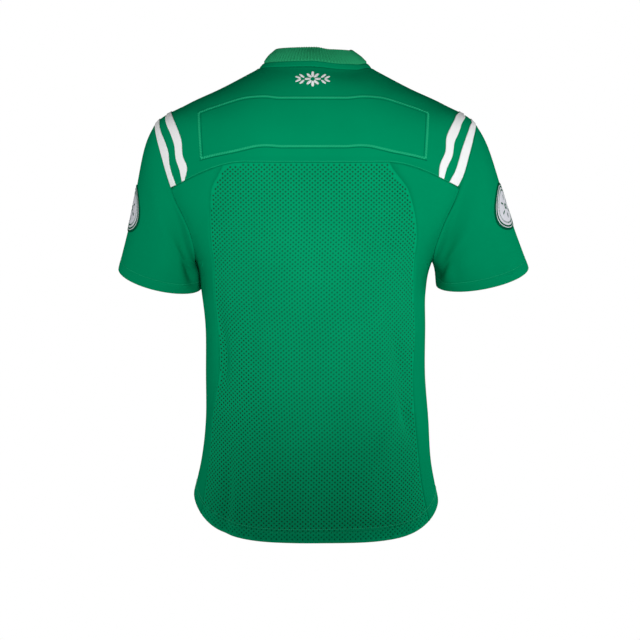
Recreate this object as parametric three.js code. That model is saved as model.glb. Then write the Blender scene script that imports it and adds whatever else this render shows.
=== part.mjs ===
// A men's American football jersey, filled out as it is worn and hollow inside.
// Millimetres, +Z up. The front faces -Y and the wearer's left is +X.
// The origin lies between the wearer's shoulders, level with the points where the collar meets the shoulders.
//
// The body is a family of rings from the neck seam (level 0) to the hem (the last level).
// Every panel is a patch of that one surface, so that neighbours share their seam and lie one seam gap apart.
import * as THREE from "three";

// Driving sizes
const CLOTH = 1.5; // wall of the body cloth
const RIB_CLOTH = 2.2; // wall of the ribbed collar under its ribs
const RIB_HEIGHT = 0.7; // how far each rib stands out of the collar
const RIB_COUNT = 136;
const APPLIED = 1.0; // thickness of stripes, patches and nameplate
const LIFT = 0.6; // gap under a piece that lies on a panel
const SEAM_GAP = 0.36;
const ARMPIT_LIFT = 1.2; // how far the sleeve's underside starts outside the side panel
const PATCH_RADIUS = 36;

// Rings of the body. half is the half width, back and front the depths from the shoulder line.
// The heights are those at the side, the centre back and the centre front.
// square is the power of the oval and vee makes the centre front a point.
// flat keeps the back and front level further round, and slant drops the wearer's right side below the left.
// shift moves the ring to the wearer's left.
// panel is the angle from the side, in degrees, where the side panel ends, and swing turns both back seams to
// the wearer's left.
const ring = (sizes) => ({ square: 2.3, vee: 0, flat: 1, slant: 0, shift: 0, swing: 0, ...sizes });
const RINGS = [
  { half: 91, back: 72, front: 104, side_z: -1, back_z: 0, front_z: -118, square: 2.0, vee: 1.0, panel: 59 },
  { half: 152, back: 98, front: 114, side_z: -33, back_z: -24, front_z: -132, square: 2.1, vee: 0.5, panel: 59 },
  { half: 208, back: 117, front: 122, side_z: -59, back_z: -56, front_z: -150, square: 2.2, vee: 0.2, panel: 59 },
  { half: 260, back: 128, front: 129, side_z: -91, back_z: -99, front_z: -172, panel: 59, swing: 3 },
  { half: 272, back: 133, front: 133, side_z: -150, back_z: -151, front_z: -198, panel: 59, swing: 3 },
  { half: 259, back: 135, front: 136, side_z: -207, back_z: -202, front_z: -230, panel: 54, swing: 2 },
  { half: 226, back: 135, front: 138, side_z: -262, back_z: -252, front_z: -268, panel: 46, swing: 1 },
  { half: 193, back: 134, front: 139, side_z: -316, back_z: -310, front_z: -314, panel: 37, shift: 2 },
  { half: 184, back: 131, front: 139, side_z: -366, back_z: -370, front_z: -370, panel: 33, shift: 3, swing: -1 },
  { half: 181, back: 127, front: 138, side_z: -424, back_z: -438, front_z: -438, panel: 31, swing: -1 },
  { half: 181, back: 125, front: 138, side_z: -500, back_z: -520, front_z: -516, panel: 32 },
  { half: 183, back: 128, front: 140, side_z: -575, back_z: -600, front_z: -594, flat: 1.4, panel: 29, shift: -1.5, swing: 3 },
  { half: 190, back: 136, front: 144, side_z: -642, back_z: -680, front_z: -672, flat: 2, slant: 3, panel: 27.5, shift: -1.5, swing: 3 },
  { half: 203, back: 145, front: 148, side_z: -706, back_z: -754, front_z: -742, flat: 2.7, slant: 6, panel: 28, shift: -1, swing: 1 },
].map(ring);
const HEM = RINGS.length - 1;

// Rings of the collar, from the neck seam up, with straight stretches between them.
const COLLAR_RINGS = [
  RINGS[0],
  { half: 84, back: 68, front: 99, side_z: 7, back_z: 9, front_z: -105, square: 2.0, vee: 1.0 },
  { half: 74, back: 62, front: 93, side_z: 19, back_z: 21, front_z: -84, square: 2.0, vee: 1.0, shift: 1 },
  { half: 60, back: 52, front: 86, side_z: 28, back_z: 31, front_z: -66, square: 2.0, vee: 1.0, shift: 2 },
].map(ring);
const BAND_TOP = 1;
const COLLAR_TOP = 3;

// The armhole, as an oval in angle and level
const ARM_LEVEL = 5; // level of its middle
const ARM_LEVELS = 2; // levels from its middle to its top and to its bottom
const ARM_ANGLE = THREE.MathUtils.degToRad(33); // angle from its middle to its back edge
const ARM_SQUARE = 2.4;
const ARM_TURN_STEP = ARM_ANGLE / 90; // how far its back edge grows for each millimetre away from the seam
const ARM_LEVEL_STEP = ARM_LEVELS / 121; // the same at its top

// The yoke seam: its level at the centre back, how many levels it dips at the sides, and the share of the way to
// the side where the dip starts
const YOKE_LEVEL = 4;
const YOKE_DIP = 0.93;
const YOKE_DIP_START = 0.4;

// Sleeve ends. out, depth and height are the cuff's middle; tilt turns it in the front view, lean swings it forwards.
// bow is how far the sleeve's head stands out of a straight line to the cuff, and gusset how far the cloth
// leaves the body sideways beside the armpit.
const CUFFS = {
  left: { side: 1, out: 260, depth: -32, height: -345, half_width: 69, half_depth: 72, tilt: 14, lean: 12, bow: 8, gusset: 27 },
  right: { side: -1, out: 277, depth: -30, height: -342, half_width: 78, half_depth: 72, tilt: 12, lean: 12, bow: 7, gusset: 24 },
};
const BOW_PEAK = 0.2; // share of the sleeve's length where the bow is fullest

// The largest soft folds. x and z are the middle, run and width the half sizes, lean the angle from upright in
// degrees, and rise the height, which is negative for a trough.
const BODY_FOLDS = [
  { face: "back", x: -152, z: -470, run: 90, width: 14, lean: 3, rise: -5 },
  { face: "back", x: -118, z: -500, run: 110, width: 22, lean: 6, rise: 3 },
  { face: "back", x: 158, z: -500, run: 110, width: 13, lean: -2, rise: -5 },
  { face: "back", x: 150, z: -650, run: 70, width: 15, lean: -4, rise: -4 },
  { face: "back", x: 84, z: -560, run: 170, width: 28, lean: 0, rise: 3 },
  { face: "back", x: -84, z: -600, run: 140, width: 28, lean: -3, rise: 2.5 },
  { face: "back", x: -75, z: -722, run: 75, width: 13, lean: 84, rise: -4 },
  { face: "back", x: -176, z: -235, run: 55, width: 12, lean: 24, rise: -4 },
  { face: "back", x: 178, z: -238, run: 55, width: 12, lean: -24, rise: -4 },
  { face: "front", x: 120, z: -470, run: 120, width: 20, lean: -4, rise: -4 },
  { face: "front", x: -126, z: -520, run: 120, width: 18, lean: 5, rise: -4 },
  { face: "front", x: -60, z: -600, run: 130, width: 26, lean: 0, rise: 3 },
  { face: "front", x: 66, z: -640, run: 100, width: 24, lean: 3, rise: 3 },
  { face: "front", x: 172, z: -236, run: 58, width: 12, lean: -26, rise: -5 },
  { face: "front", x: -172, z: -236, run: 58, width: 12, lean: 26, rise: -5 },
];

// Folds of the sleeves: turn is the angle round the sleeve, 0 at the outside and 90 at the back, and down the share
// of its length.
const SLEEVE_FOLDS = {
  left: [
    { turn: 138, down: 0.4, around: 17, along: 0.4, rise: -6 },
    { turn: 95, down: 0.72, around: 24, along: 0.22, rise: 3 },
    { turn: -120, down: 0.42, around: 18, along: 0.36, rise: -5 },
  ],
  right: [
    { turn: 142, down: 0.42, around: 16, along: 0.36, rise: -7 },
    { turn: 104, down: 0.62, around: 22, along: 0.2, rise: 5 },
    { turn: -118, down: 0.42, around: 18, along: 0.36, rise: -5 },
  ],
};

// The nameplate: its middle and half widths, the heights of its edges at the centre, the drop at its ends and
// the share of its width where the drop starts
const PLATE = {
  middle: 3, top_half: 184, bottom_half: 179, top_z: -48, bottom_z: -128, top_drop: 25, bottom_drop: 20, level_share: 0.5,
};

// The stripes' two edges, measured from the armhole seam
const STRIPES = [
  { name: "outer", near: 0.8, far: 12 },
  { name: "inner", near: 26, far: 34 },
];

// Cell counts, and the level where the side panels' columns lie evenly
const GATHER = 7.8;
const PANEL_COLUMNS = 16;
const SHORT_COLUMNS = 3;
const UPPER_ARC = 14;
const LOWER_ARC = 12;
const BODY_ROWS = 16;
const YOKE_ROWS = 11;
const SLEEVE_ROWS = 9;
const STRIPE_COLUMNS = 30;
const PATCH_COLUMNS = 20;
const PATCH_RINGS = 5;
const PLATE_COLUMNS = 26;
const PLATE_ROWS = 7;

const GREEN = new THREE.Color(0.0, 0.27, 0.12);
const MESH_GREEN = new THREE.Color(0.0, 0.25, 0.11);
const RIB_GREEN = new THREE.Color(0.0, 0.21, 0.09);
const WHITE = new THREE.Color(0.9, 0.9, 0.9);

// A smooth curve through a column of a table, read at any level
function column(rows, name, level) {
  const from = Math.min(Math.max(Math.floor(level), 0), rows.length - 2);
  const share = level - from;
  const value = (i) => rows[Math.min(Math.max(i, 0), rows.length - 1)][name];
  const [a, b, c, d] = [value(from - 1), value(from), value(from + 1), value(from + 2)];
  const start = from === 0 ? c - b : (c - a) / 2;
  const end = from === rows.length - 2 ? c - b : (d - b) / 2;
  const [s2, s3] = [share ** 2, share ** 3];
  return (2 * s3 - 3 * s2 + 1) * b + (s3 - 2 * s2 + share) * start + (3 * s2 - 2 * s3) * c + (s3 - s2) * end;
}

function straight(rows, name, level) {
  const from = Math.min(Math.floor(level), rows.length - 2);
  return THREE.MathUtils.lerp(rows[from][name], rows[from + 1][name], level - from);
}

// A point of the unit oval whose power is square: 2 is a circle, more is boxier
function oval(angle, square) {
  const across = Math.cos(angle);
  const deep = Math.sin(angle);
  const reach = (Math.abs(across) ** square + Math.abs(deep) ** square) ** (-1 / square);
  return { across: reach * across, deep: reach * deep };
}

// The point at an angle of a ring: 0 is the wearer's left side and 90 degrees the centre back
function ringPoint(read, angle) {
  const { across, deep } = oval(angle, read("square"));
  const isBack = deep > 0;
  const sideways = Math.cos(angle);
  const round = 1 - Math.abs(sideways) ** (2 * read("flat"));
  const pointed = (1 - Math.abs(sideways)) ** 1.2;
  const share = isBack ? round : THREE.MathUtils.lerp(round, pointed, read("vee"));
  const depth = isBack ? read("back") : read("front");
  const middleHeight = isBack ? read("back_z") : read("front_z");
  return new THREE.Vector3(
    read("half") * across + read("shift"),
    depth * deep,
    THREE.MathUtils.lerp(read("side_z"), middleHeight, share) + read("slant") * sideways ** 3,
  );
}

// The height of the soft folds at a point of the body: each one is a long bell
function foldRise(p) {
  const face = p.y > 0 ? "back" : "front";
  let rise = 0;
  for (const fold of BODY_FOLDS) {
    if (fold.face !== face) continue;
    const lean = THREE.MathUtils.degToRad(fold.lean);
    const dx = p.x - fold.x;
    const dz = p.z - fold.z;
    const along = (dz * Math.cos(lean) + dx * Math.sin(lean)) / fold.run;
    const across = (dx * Math.cos(lean) - dz * Math.sin(lean)) / fold.width;
    rise += fold.rise * Math.exp(-(along ** 2) - across ** 2);
  }
  return rise;
}

function bodyPoint(angle, level) {
  const p = ringPoint((name) => column(RINGS, name, level), angle);
  const rise = foldRise(p) * Math.sin(angle) ** 2;
  return p.add(new THREE.Vector3(Math.cos(angle) * rise, Math.sin(angle) * rise, 0));
}

const collarPoint = (angle, level) => ringPoint((name) => straight(COLLAR_RINGS, name, level), angle);

// The outward unit normal of a surface of two parameters, by central differences
function normalOf(surface, u, v, step) {
  const along = surface(u + step, v).sub(surface(u - step, v));
  const across = surface(u, v + step).sub(surface(u, v - step));
  return along.cross(across).normalize();
}

const STEP = 1e-3;
const bodyNormal = (angle, level) => normalOf(bodyPoint, angle, level, STEP).negate();
const bodySpot = (angle, level) => ({ p: bodyPoint(angle, level), n: bodyNormal(angle, level) });

// The level where a change of sign lies, between low and high
function bisect(test, low, high) {
  for (let i = 0; i < 40; i += 1) {
    const middle = (low + high) / 2;
    if (test(middle) < 0) low = middle;
    else high = middle;
  }
  return (low + high) / 2;
}

const yokeSeam = (angle) =>
  YOKE_LEVEL + YOKE_DIP * THREE.MathUtils.smoothstep(Math.abs(Math.cos(angle)), YOKE_DIP_START, 1);

// The ring angle of a point that lies fromSide away from the wearer's left or right side
const ringAngle = (side, fromSide) => (side > 0 ? fromSide : Math.PI - fromSide);

// A spot on the armhole's oval grown by a number of millimetres. turn is 0 at the top and 90 degrees at the back.
function armSpot(side, turn, away = 0) {
  const { across, deep } = oval(turn, ARM_SQUARE);
  const fromSide = (ARM_ANGLE + away * ARM_TURN_STEP) * deep;
  const level = ARM_LEVEL - (ARM_LEVELS + away * ARM_LEVEL_STEP) * across;
  return { fromSide, angle: ringAngle(side, fromSide), level };
}

// The turn at which the armhole, grown by away, meets the yoke seam
const seamTurn = (away) =>
  bisect((turn) => {
    const spot = armSpot(1, turn, away);
    return spot.level - yokeSeam(spot.fromSide);
  }, 0.3, Math.PI - 0.3);

const CORNER = seamTurn(0);

const spread = (from, to, count) => Array.from({ length: count + 1 }, (_, i) => from + ((to - from) * i) / count);

// The angle from the wearer's side where the side panel ends, at a level. face is 1 at the back and -1 in front.
function seamAngle(face, side, level) {
  const swing = face > 0 ? side * column(RINGS, "swing", level) : 0;
  return face * THREE.MathUtils.degToRad(column(RINGS, "panel", level) - swing);
}

// The same angle where the panel seam meets the yoke seam
function seamTop(face, side) {
  const level = bisect((at) => at - yokeSeam(seamAngle(face, side, at)), YOKE_LEVEL, YOKE_LEVEL + 1);
  return seamAngle(face, side, level);
}

// The ring angle at a share s of the back or front panel, from 0 at the left seam to 1 at the right one
function panelAngle(face, s, level) {
  const left = ringAngle(1, seamAngle(face, 1, level));
  const right = ringAngle(-1, seamAngle(face, -1, level));
  return THREE.MathUtils.lerp(left, face > 0 ? right : right - 2 * Math.PI, s);
}

// A point of the back or front panel's top edge
function panelTop(face, s) {
  const left = ringAngle(1, seamTop(face, 1));
  const right = ringAngle(-1, seamTop(face, -1));
  const angle = THREE.MathUtils.lerp(left, face > 0 ? right : right - 2 * Math.PI, s);
  return { angle, level: yokeSeam(angle) };
}

// A stretch of the yoke seam between an armhole's corner and a panel seam, as angles from the side
const shortSeam = (from, to) => spread(from, to, SHORT_COLUMNS).map((fromSide) => ({ fromSide, level: yokeSeam(fromSide) }));

// The yoke's outer edge once round, from the front corner of the left armhole, as angle and level
function yokeEdge() {
  const corner = armSpot(1, CORNER).fromSide;
  const arc = spread(-CORNER, CORNER, UPPER_ARC).map((turn) => armSpot(1, turn));
  const placed = (side, spots) => spots.map(({ fromSide, level }) => ({ angle: ringAngle(side, fromSide), level }));
  const panel = (face) => spread(0, 1, PANEL_COLUMNS).map((s) => panelTop(face, s));
  const stretches = [
    placed(1, arc),
    placed(1, shortSeam(corner, seamTop(1, 1))),
    panel(1),
    placed(-1, shortSeam(seamTop(1, -1), corner)),
    placed(-1, arc.toReversed()),
    placed(-1, shortSeam(-corner, seamTop(-1, -1))),
    panel(-1).reverse().map(({ angle, level }) => ({ angle: angle + 2 * Math.PI, level })),
    placed(1, shortSeam(seamTop(-1, 1), -corner)).map(({ angle, level }) => ({ angle: angle + 2 * Math.PI, level })),
  ];
  return stretches.flatMap((spots) => spots.slice(0, -1));
}

// A closed solid between two grids of points, outer and inner. A ring of columns closes on itself.
function wall(outer, inner, isRing) {
  const rows = outer.length;
  const columns = outer[0].length;
  const points = [...outer.flat(), ...inner.flat()];
  const at = (layer, row, col) => layer * rows * columns + row * columns + (col % columns);
  const faces = [];
  const quad = (a, b, c, d) => faces.push(a, b, c, a, c, d);
  const spans = isRing ? columns : columns - 1;
  for (let r = 0; r < rows - 1; r += 1) {
    for (let c = 0; c < spans; c += 1) {
      quad(at(0, r, c), at(0, r + 1, c), at(0, r + 1, c + 1), at(0, r, c + 1));
      quad(at(1, r, c), at(1, r, c + 1), at(1, r + 1, c + 1), at(1, r + 1, c));
    }
  }
  for (let c = 0; c < spans; c += 1) {
    quad(at(0, 0, c), at(0, 0, c + 1), at(1, 0, c + 1), at(1, 0, c));
    quad(at(0, rows - 1, c + 1), at(0, rows - 1, c), at(1, rows - 1, c), at(1, rows - 1, c + 1));
  }
  for (let r = 0; r < rows - 1 && !isRing; r += 1) {
    quad(at(0, r + 1, 0), at(0, r, 0), at(1, r, 0), at(1, r + 1, 0));
    quad(at(0, r, columns - 1), at(0, r + 1, columns - 1), at(1, r + 1, columns - 1), at(1, r, columns - 1));
  }
  const geometry = new THREE.BufferGeometry();
  geometry.setAttribute("position", new THREE.Float32BufferAttribute(points.flatMap((p) => p.toArray()), 3));
  geometry.setIndex(faces);
  if (volumeOf(points, faces) < 0) geometry.setIndex(faces.slice().reverse());
  geometry.computeVertexNormals();
  return geometry;
}

function volumeOf(points, faces) {
  let volume = 0;
  for (let i = 0; i < faces.length; i += 3) {
    const [a, b, c] = [points[faces[i]], points[faces[i + 1]], points[faces[i + 2]]];
    volume += a.dot(b.clone().cross(c)) / 6;
  }
  return volume;
}

const jersey = new THREE.Group();

function addPiece(name, geometry, color, roughness) {
  const mesh = new THREE.Mesh(geometry, new THREE.MeshStandardMaterial({ color, roughness, metalness: 0 }));
  mesh.name = name;
  jersey.add(mesh);
}

// The wall made from a grid of spots, each a point and its normal: top is the outer face's height over the surface
function wallOf(spots, top, thickness, isRing) {
  const moved = (height) => spots.map((row) => row.map(({ p, n }) => p.clone().addScaledVector(n, height)));
  return wall(moved(top), moved(top - thickness), isRing);
}

// The step in level that is half a seam gap long there
function gapLevel(angle, level) {
  const length = bodyPoint(angle, level + STEP).distanceTo(bodyPoint(angle, level - STEP)) / (2 * STEP);
  return SEAM_GAP / 2 / length;
}

function gapAngle(angle, level) {
  const length = bodyPoint(angle + STEP, level).distanceTo(bodyPoint(angle - STEP, level)) / (2 * STEP);
  return SEAM_GAP / 2 / length;
}

// The yoke runs from the neck seam to its edge, along lines of one angle
function addYoke() {
  const edge = yokeEdge();
  const spots = spread(0, 1, YOKE_ROWS).map((t) =>
    edge.map(({ angle, level }) => {
      const end = level - gapLevel(angle, level);
      return bodySpot(angle, end * t);
    }),
  );
  addPiece("yoke", wallOf(spots, 0, CLOTH, true), GREEN, 0.75);
}

// The back panel is face 1 and the front panel face -1
function addMeshPanel(name, face) {
  const spots = spread(0, 1, BODY_ROWS).map((t) =>
    spread(0, 1, PANEL_COLUMNS).map((s) => {
      const top = panelTop(face, s);
      const level = THREE.MathUtils.lerp(top.level + gapLevel(top.angle, top.level), HEM, t);
      const angle = panelAngle(face, s, level);
      const inset = s === 0 || s === 1 ? (1 - 2 * s) * face * gapAngle(angle, level) : 0;
      return bodySpot(angle + inset, level);
    }),
  );
  addPiece(name, wallOf(spots, 0, CLOTH, false), MESH_GREEN, 0.8);
}

// How far from the side the lower half of the armhole lies at a level
function armReach(level) {
  const share = Math.min(Math.abs(level - ARM_LEVEL) / ARM_LEVELS, 1);
  return ARM_ANGLE * (1 - share ** ARM_SQUARE) ** (1 / ARM_SQUARE);
}

// The side panel's top edge is a short stretch of yoke seam, the lower half of the armhole, and yoke seam again.
// Its columns leave the armhole outwards and lie evenly between the panel seams from the level GATHER down.
function addSidePanel(name, side) {
  const { lerp, clamp } = THREE.MathUtils;
  const corner = armSpot(1, CORNER).fromSide;
  const arc = spread(CORNER, 2 * Math.PI - CORNER, LOWER_ARC).map((turn) => armSpot(1, turn));
  const top = [
    ...shortSeam(seamTop(1, side), corner),
    ...arc.slice(1, -1),
    ...shortSeam(-corner, seamTop(-1, side)),
  ];
  const last = top.length - 1;
  const spots = spread(0, 1, BODY_ROWS).map((t) =>
    top.map((spot, i) => {
      const face = i <= last / 2 ? 1 : -1;
      const seam = (level) => Math.abs(seamAngle(face, side, level));
      const first = armReach(spot.level);
      const firstShare = (Math.abs(spot.fromSide) - first) / (seam(spot.level) - first);
      const evenShare = Math.abs(1 - (2 * i) / last);
      const level = lerp(spot.level + gapLevel(spot.fromSide, spot.level), HEM, t);
      const gathered = clamp((level - spot.level) / (GATHER - spot.level), 0, 1);
      const fromSide = face * lerp(armReach(level), seam(level), lerp(firstShare, evenShare, gathered));
      const inset = i === 0 || i === last ? face * gapAngle(fromSide, level) : 0;
      return bodySpot(ringAngle(side, fromSide - inset), level);
    }),
  );
  addPiece(name, wallOf(spots, 0, CLOTH, false), GREEN, 0.75);
}

// The sleeve runs from the armhole to the cuff. outwards, down and backwards are the cuff's own directions.
function cuffFrame({ side, out, depth, height, tilt, lean }) {
  const [turned, swung] = [THREE.MathUtils.degToRad(tilt), THREE.MathUtils.degToRad(lean)];
  const outwards = new THREE.Vector3(side * Math.cos(turned), 0, Math.sin(turned));
  const down = new THREE.Vector3(side * Math.sin(turned), 0, -Math.cos(turned));
  const backwards = new THREE.Vector3(0, Math.cos(swung), 0).addScaledVector(down, Math.sin(swung));
  return { outwards, backwards, middle: new THREE.Vector3(side * out, depth, height) };
}

function sleeveRise(name, turn, t) {
  let rise = 0;
  for (const fold of SLEEVE_FOLDS[name]) {
    const degrees = THREE.MathUtils.radToDeg(turn) - fold.turn;
    const around = (THREE.MathUtils.euclideanModulo(degrees + 180, 360) - 180) / fold.around;
    const along = (t - fold.down) / fold.along;
    rise += fold.rise * Math.exp(-(around ** 2) - along ** 2);
  }
  return rise;
}

// Each line down the sleeve is straight, with a bow near the shoulder and the soft folds added
function sleevePoint(name, turn, t) {
  const cuff = CUFFS[name];
  const { outwards, backwards, middle } = cuffFrame(cuff);
  const under = (1 - Math.cos(turn)) / 2;
  const spot = armSpot(cuff.side, turn, -SEAM_GAP);
  const start = bodyPoint(spot.angle, spot.level);
  start.addScaledVector(bodyNormal(spot.angle, spot.level), ARMPIT_LIFT * under);
  const end = middle
    .addScaledVector(outwards, cuff.half_width * Math.cos(turn))
    .addScaledVector(backwards, cuff.half_depth * Math.sin(turn));
  const away = outwards.multiplyScalar(Math.cos(turn)).addScaledVector(backwards, Math.sin(turn));
  const power = 1 / BOW_PEAK - 1;
  const bell = (t * (1 - t) ** power) / (BOW_PEAK * (1 - BOW_PEAK) ** power);
  const rise = cuff.bow * bell * (1 - under) + sleeveRise(name, turn, t) * Math.sin(Math.PI * t);
  const sideways = cuff.side * cuff.gusset * bell * under * Math.sin(turn) ** 2;
  return start.lerp(end, t).addScaledVector(away, rise).add(new THREE.Vector3(sideways, 0, 0));
}

function sleeveSpot(name, turn, t) {
  const side = CUFFS[name].side;
  const inside = Math.max(t, 2 * STEP);
  const n = normalOf((u, v) => sleevePoint(name, u, v), turn, inside, STEP).multiplyScalar(-side);
  const spot = armSpot(side, turn);
  const share = (1 - THREE.MathUtils.smoothstep(t, 0, 0.12)) * THREE.MathUtils.smoothstep(Math.cos(turn), -0.2, 0.3);
  n.lerp(bodyNormal(spot.angle, spot.level), share).normalize();
  return { p: sleevePoint(name, turn, t), n };
}

function addSleeve(name) {
  const upper = spread(-CORNER, CORNER, UPPER_ARC);
  const lower = spread(CORNER, 2 * Math.PI - CORNER, LOWER_ARC);
  const turns = [...upper, ...lower.slice(1, -1)];
  const spots = spread(0, 1, SLEEVE_ROWS).map((t) => turns.map((turn) => sleeveSpot(name, turn, t)));
  addPiece(`sleeve_${name}`, wallOf(spots, 0, CLOTH, true), GREEN, 0.75);
}

// The collar's two rings: a smooth band on the neck seam, and the ribbed knit above it
const collarSpot = (angle, level) => ({
  p: collarPoint(angle, level),
  n: normalOf(collarPoint, angle, Math.min(Math.max(level, 2 * STEP), COLLAR_TOP - 2 * STEP), STEP),
});

// Angles that cut a ring of the collar into even lengths, starting at the centre front
function evenAngles(level, count) {
  const samples = spread(0, 2 * Math.PI, 720).map((turn) => turn - Math.PI / 2);
  const lengths = [0];
  for (let i = 1; i < samples.length; i += 1) {
    lengths.push(lengths[i - 1] + collarPoint(samples[i], level).distanceTo(collarPoint(samples[i - 1], level)));
  }
  const whole = lengths[lengths.length - 1];
  return Array.from({ length: count }, (_, i) => {
    const wanted = (whole * i) / count;
    const k = Math.max(lengths.findIndex((length) => length >= wanted), 1);
    const share = (wanted - lengths[k - 1]) / (lengths[k] - lengths[k - 1]);
    return THREE.MathUtils.lerp(samples[k - 1], samples[k], share);
  });
}

function addCollar() {
  const bandGap = SEAM_GAP / 8;
  const angles = yokeEdge().map(({ angle }) => angle);
  const band = spread(bandGap, BAND_TOP - bandGap, 1).map((level) => angles.map((angle) => collarSpot(angle, level)));
  addPiece("collar_band", wallOf(band, 0.4, CLOTH, true), GREEN, 0.75);

  const ribAngles = evenAngles(BAND_TOP + 1, 2 * RIB_COUNT);
  const levels = [BAND_TOP + bandGap, BAND_TOP + 1, COLLAR_TOP];
  const spots = levels.map((level) => ribAngles.map((angle) => collarSpot(angle, level)));
  const outer = spots.map((row) =>
    row.map(({ p, n }, i) => p.clone().addScaledVector(n, i % 2 ? RIB_HEIGHT : 0)),
  );
  const inner = spots.map((row) => row.map(({ p, n }) => p.clone().addScaledVector(n, -RIB_CLOTH)));
  addPiece("collar_rib", wall(outer, inner, true), RIB_GREEN, 0.9);
}

// The angle and level of the back's point at x and z, found by Newton's method
function backSpot(x, z) {
  let angle = Math.acos(x / 320);
  let level = 3;
  for (let i = 0; i < 30; i += 1) {
    const p = bodyPoint(angle, level);
    const a = bodyPoint(angle + STEP, level).sub(p).divideScalar(STEP);
    const b = bodyPoint(angle, level + STEP).sub(p).divideScalar(STEP);
    const det = a.x * b.z - b.x * a.z;
    const [dx, dz] = [x - p.x, z - p.z];
    angle += (dx * b.z - b.x * dz) / det;
    level += (a.x * dz - dx * a.z) / det;
  }
  return bodySpot(angle, level);
}

// The nameplate's edges run level across the shoulder blades and drop towards the sleeves
function addNameplate() {
  const { lerp } = THREE.MathUtils;
  const spots = spread(0, 1, PLATE_ROWS).map((t) =>
    spread(-1, 1, PLATE_COLUMNS).map((s) => {
      const past = Math.max(Math.abs(s) - PLATE.level_share, 0) / (1 - PLATE.level_share);
      const drop = lerp(PLATE.top_drop, PLATE.bottom_drop, t) * past ** 1.2;
      const x = PLATE.middle + s * lerp(PLATE.top_half, PLATE.bottom_half, t);
      return backSpot(x, lerp(PLATE.top_z, PLATE.bottom_z, t) - drop);
    }),
  );
  addPiece("nameplate", wallOf(spots, LIFT + APPLIED, APPLIED, false), GREEN, 0.7);
}

// A stripe lies between two ovals round the armhole and ends at the yoke seam, back and front
function addStripe(name, side, near, far) {
  const spots = [near, far].map((away) => {
    const end = seamTurn(away) - 0.01;
    return spread(-end, end, STRIPE_COLUMNS).map((turn) => {
      const { angle, level } = armSpot(side, turn, away);
      return bodySpot(angle, level);
    });
  });
  addPiece(name, wallOf(spots, LIFT + APPLIED, APPLIED, false), WHITE, 0.6);
}

// A round patch on the outside of the sleeve: a fan of rings about its middle
function addPatch(name, turn, down) {
  const surface = (u, v) => sleevePoint(name, u, v);
  const around = surface(turn + STEP, down).sub(surface(turn - STEP, down)).divideScalar(2 * STEP);
  const along = surface(turn, down + STEP).sub(surface(turn, down - STEP)).divideScalar(2 * STEP);
  const skew = around.dot(along) / around.lengthSq();
  const straightDown = along.clone().addScaledVector(around, -skew).length();
  const place = (radius, bearing) => {
    const t = (radius * Math.cos(bearing)) / straightDown;
    const u = (radius * Math.sin(bearing)) / around.length() - skew * t;
    return sleeveSpot(name, turn + u, down + t);
  };
  const bearings = spread(0, 2 * Math.PI, PATCH_COLUMNS).slice(0, -1);
  const spots = spread(PATCH_RADIUS / 12, PATCH_RADIUS, PATCH_RINGS).map((radius) =>
    bearings.map((bearing) => place(radius, bearing)),
  );
  const top = LIFT + APPLIED;
  addPiece(`sleeve_patch_${name}`, disc(spots, top, APPLIED), WHITE, 0.6);
}

// A disc with thickness from rings of spots, its middle closed by the first ring's own fan
function disc(spots, top, thickness) {
  const points = [];
  const faces = [];
  const columns = spots[0].length;
  const rows = spots.length;
  for (const height of [top, top - thickness]) {
    for (const row of spots) for (const { p, n } of row) points.push(p.clone().addScaledVector(n, height));
  }
  const at = (layer, row, col) => layer * rows * columns + row * columns + (col % columns);
  const quad = (a, b, c, d) => faces.push(a, b, c, a, c, d);
  for (let c = 0; c < columns; c += 1) {
    for (let r = 0; r < rows - 1; r += 1) {
      quad(at(0, r, c), at(0, r + 1, c), at(0, r + 1, c + 1), at(0, r, c + 1));
      quad(at(1, r, c), at(1, r, c + 1), at(1, r + 1, c + 1), at(1, r + 1, c));
    }
    quad(at(0, rows - 1, c + 1), at(0, rows - 1, c), at(1, rows - 1, c), at(1, rows - 1, c + 1));
  }
  for (let c = 1; c < columns - 1; c += 1) {
    faces.push(at(0, 0, 0), at(0, 0, c), at(0, 0, c + 1));
    faces.push(at(1, 0, 0), at(1, 0, c + 1), at(1, 0, c));
  }
  if (volumeOf(points, faces) < 0) faces.reverse();
  const geometry = new THREE.BufferGeometry();
  geometry.setAttribute("position", new THREE.Float32BufferAttribute(points.flatMap((p) => p.toArray()), 3));
  geometry.setIndex(faces);
  geometry.computeVertexNormals();
  return geometry;
}

addMeshPanel("back_panel", 1);
addMeshPanel("front_panel", -1);
addSidePanel("side_panel_left", 1);
addSidePanel("side_panel_right", -1);
addYoke();
addSleeve("left");
addSleeve("right");
addCollar();
addNameplate();
for (const [word, side] of [["left", 1], ["right", -1]]) {
  for (const { name, near, far } of STRIPES) addStripe(`stripe_${word}_${name}`, side, near, far);
}
addPatch("left", THREE.MathUtils.degToRad(20), 0.55);
addPatch("right", THREE.MathUtils.degToRad(29), 0.54);

export default jersey;
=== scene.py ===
# %% [markdown]
# # A football jersey, worn and hollow
# The jersey is cut from two cloths: an open mesh for the back and front, and a smooth knit for the
# yoke, the sides and the sleeves. Ribbed knit finishes the neck, and white stripes, round patches
# and a nameplate are sewn on top. Every piece here is a surface worked out with numpy.

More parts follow.
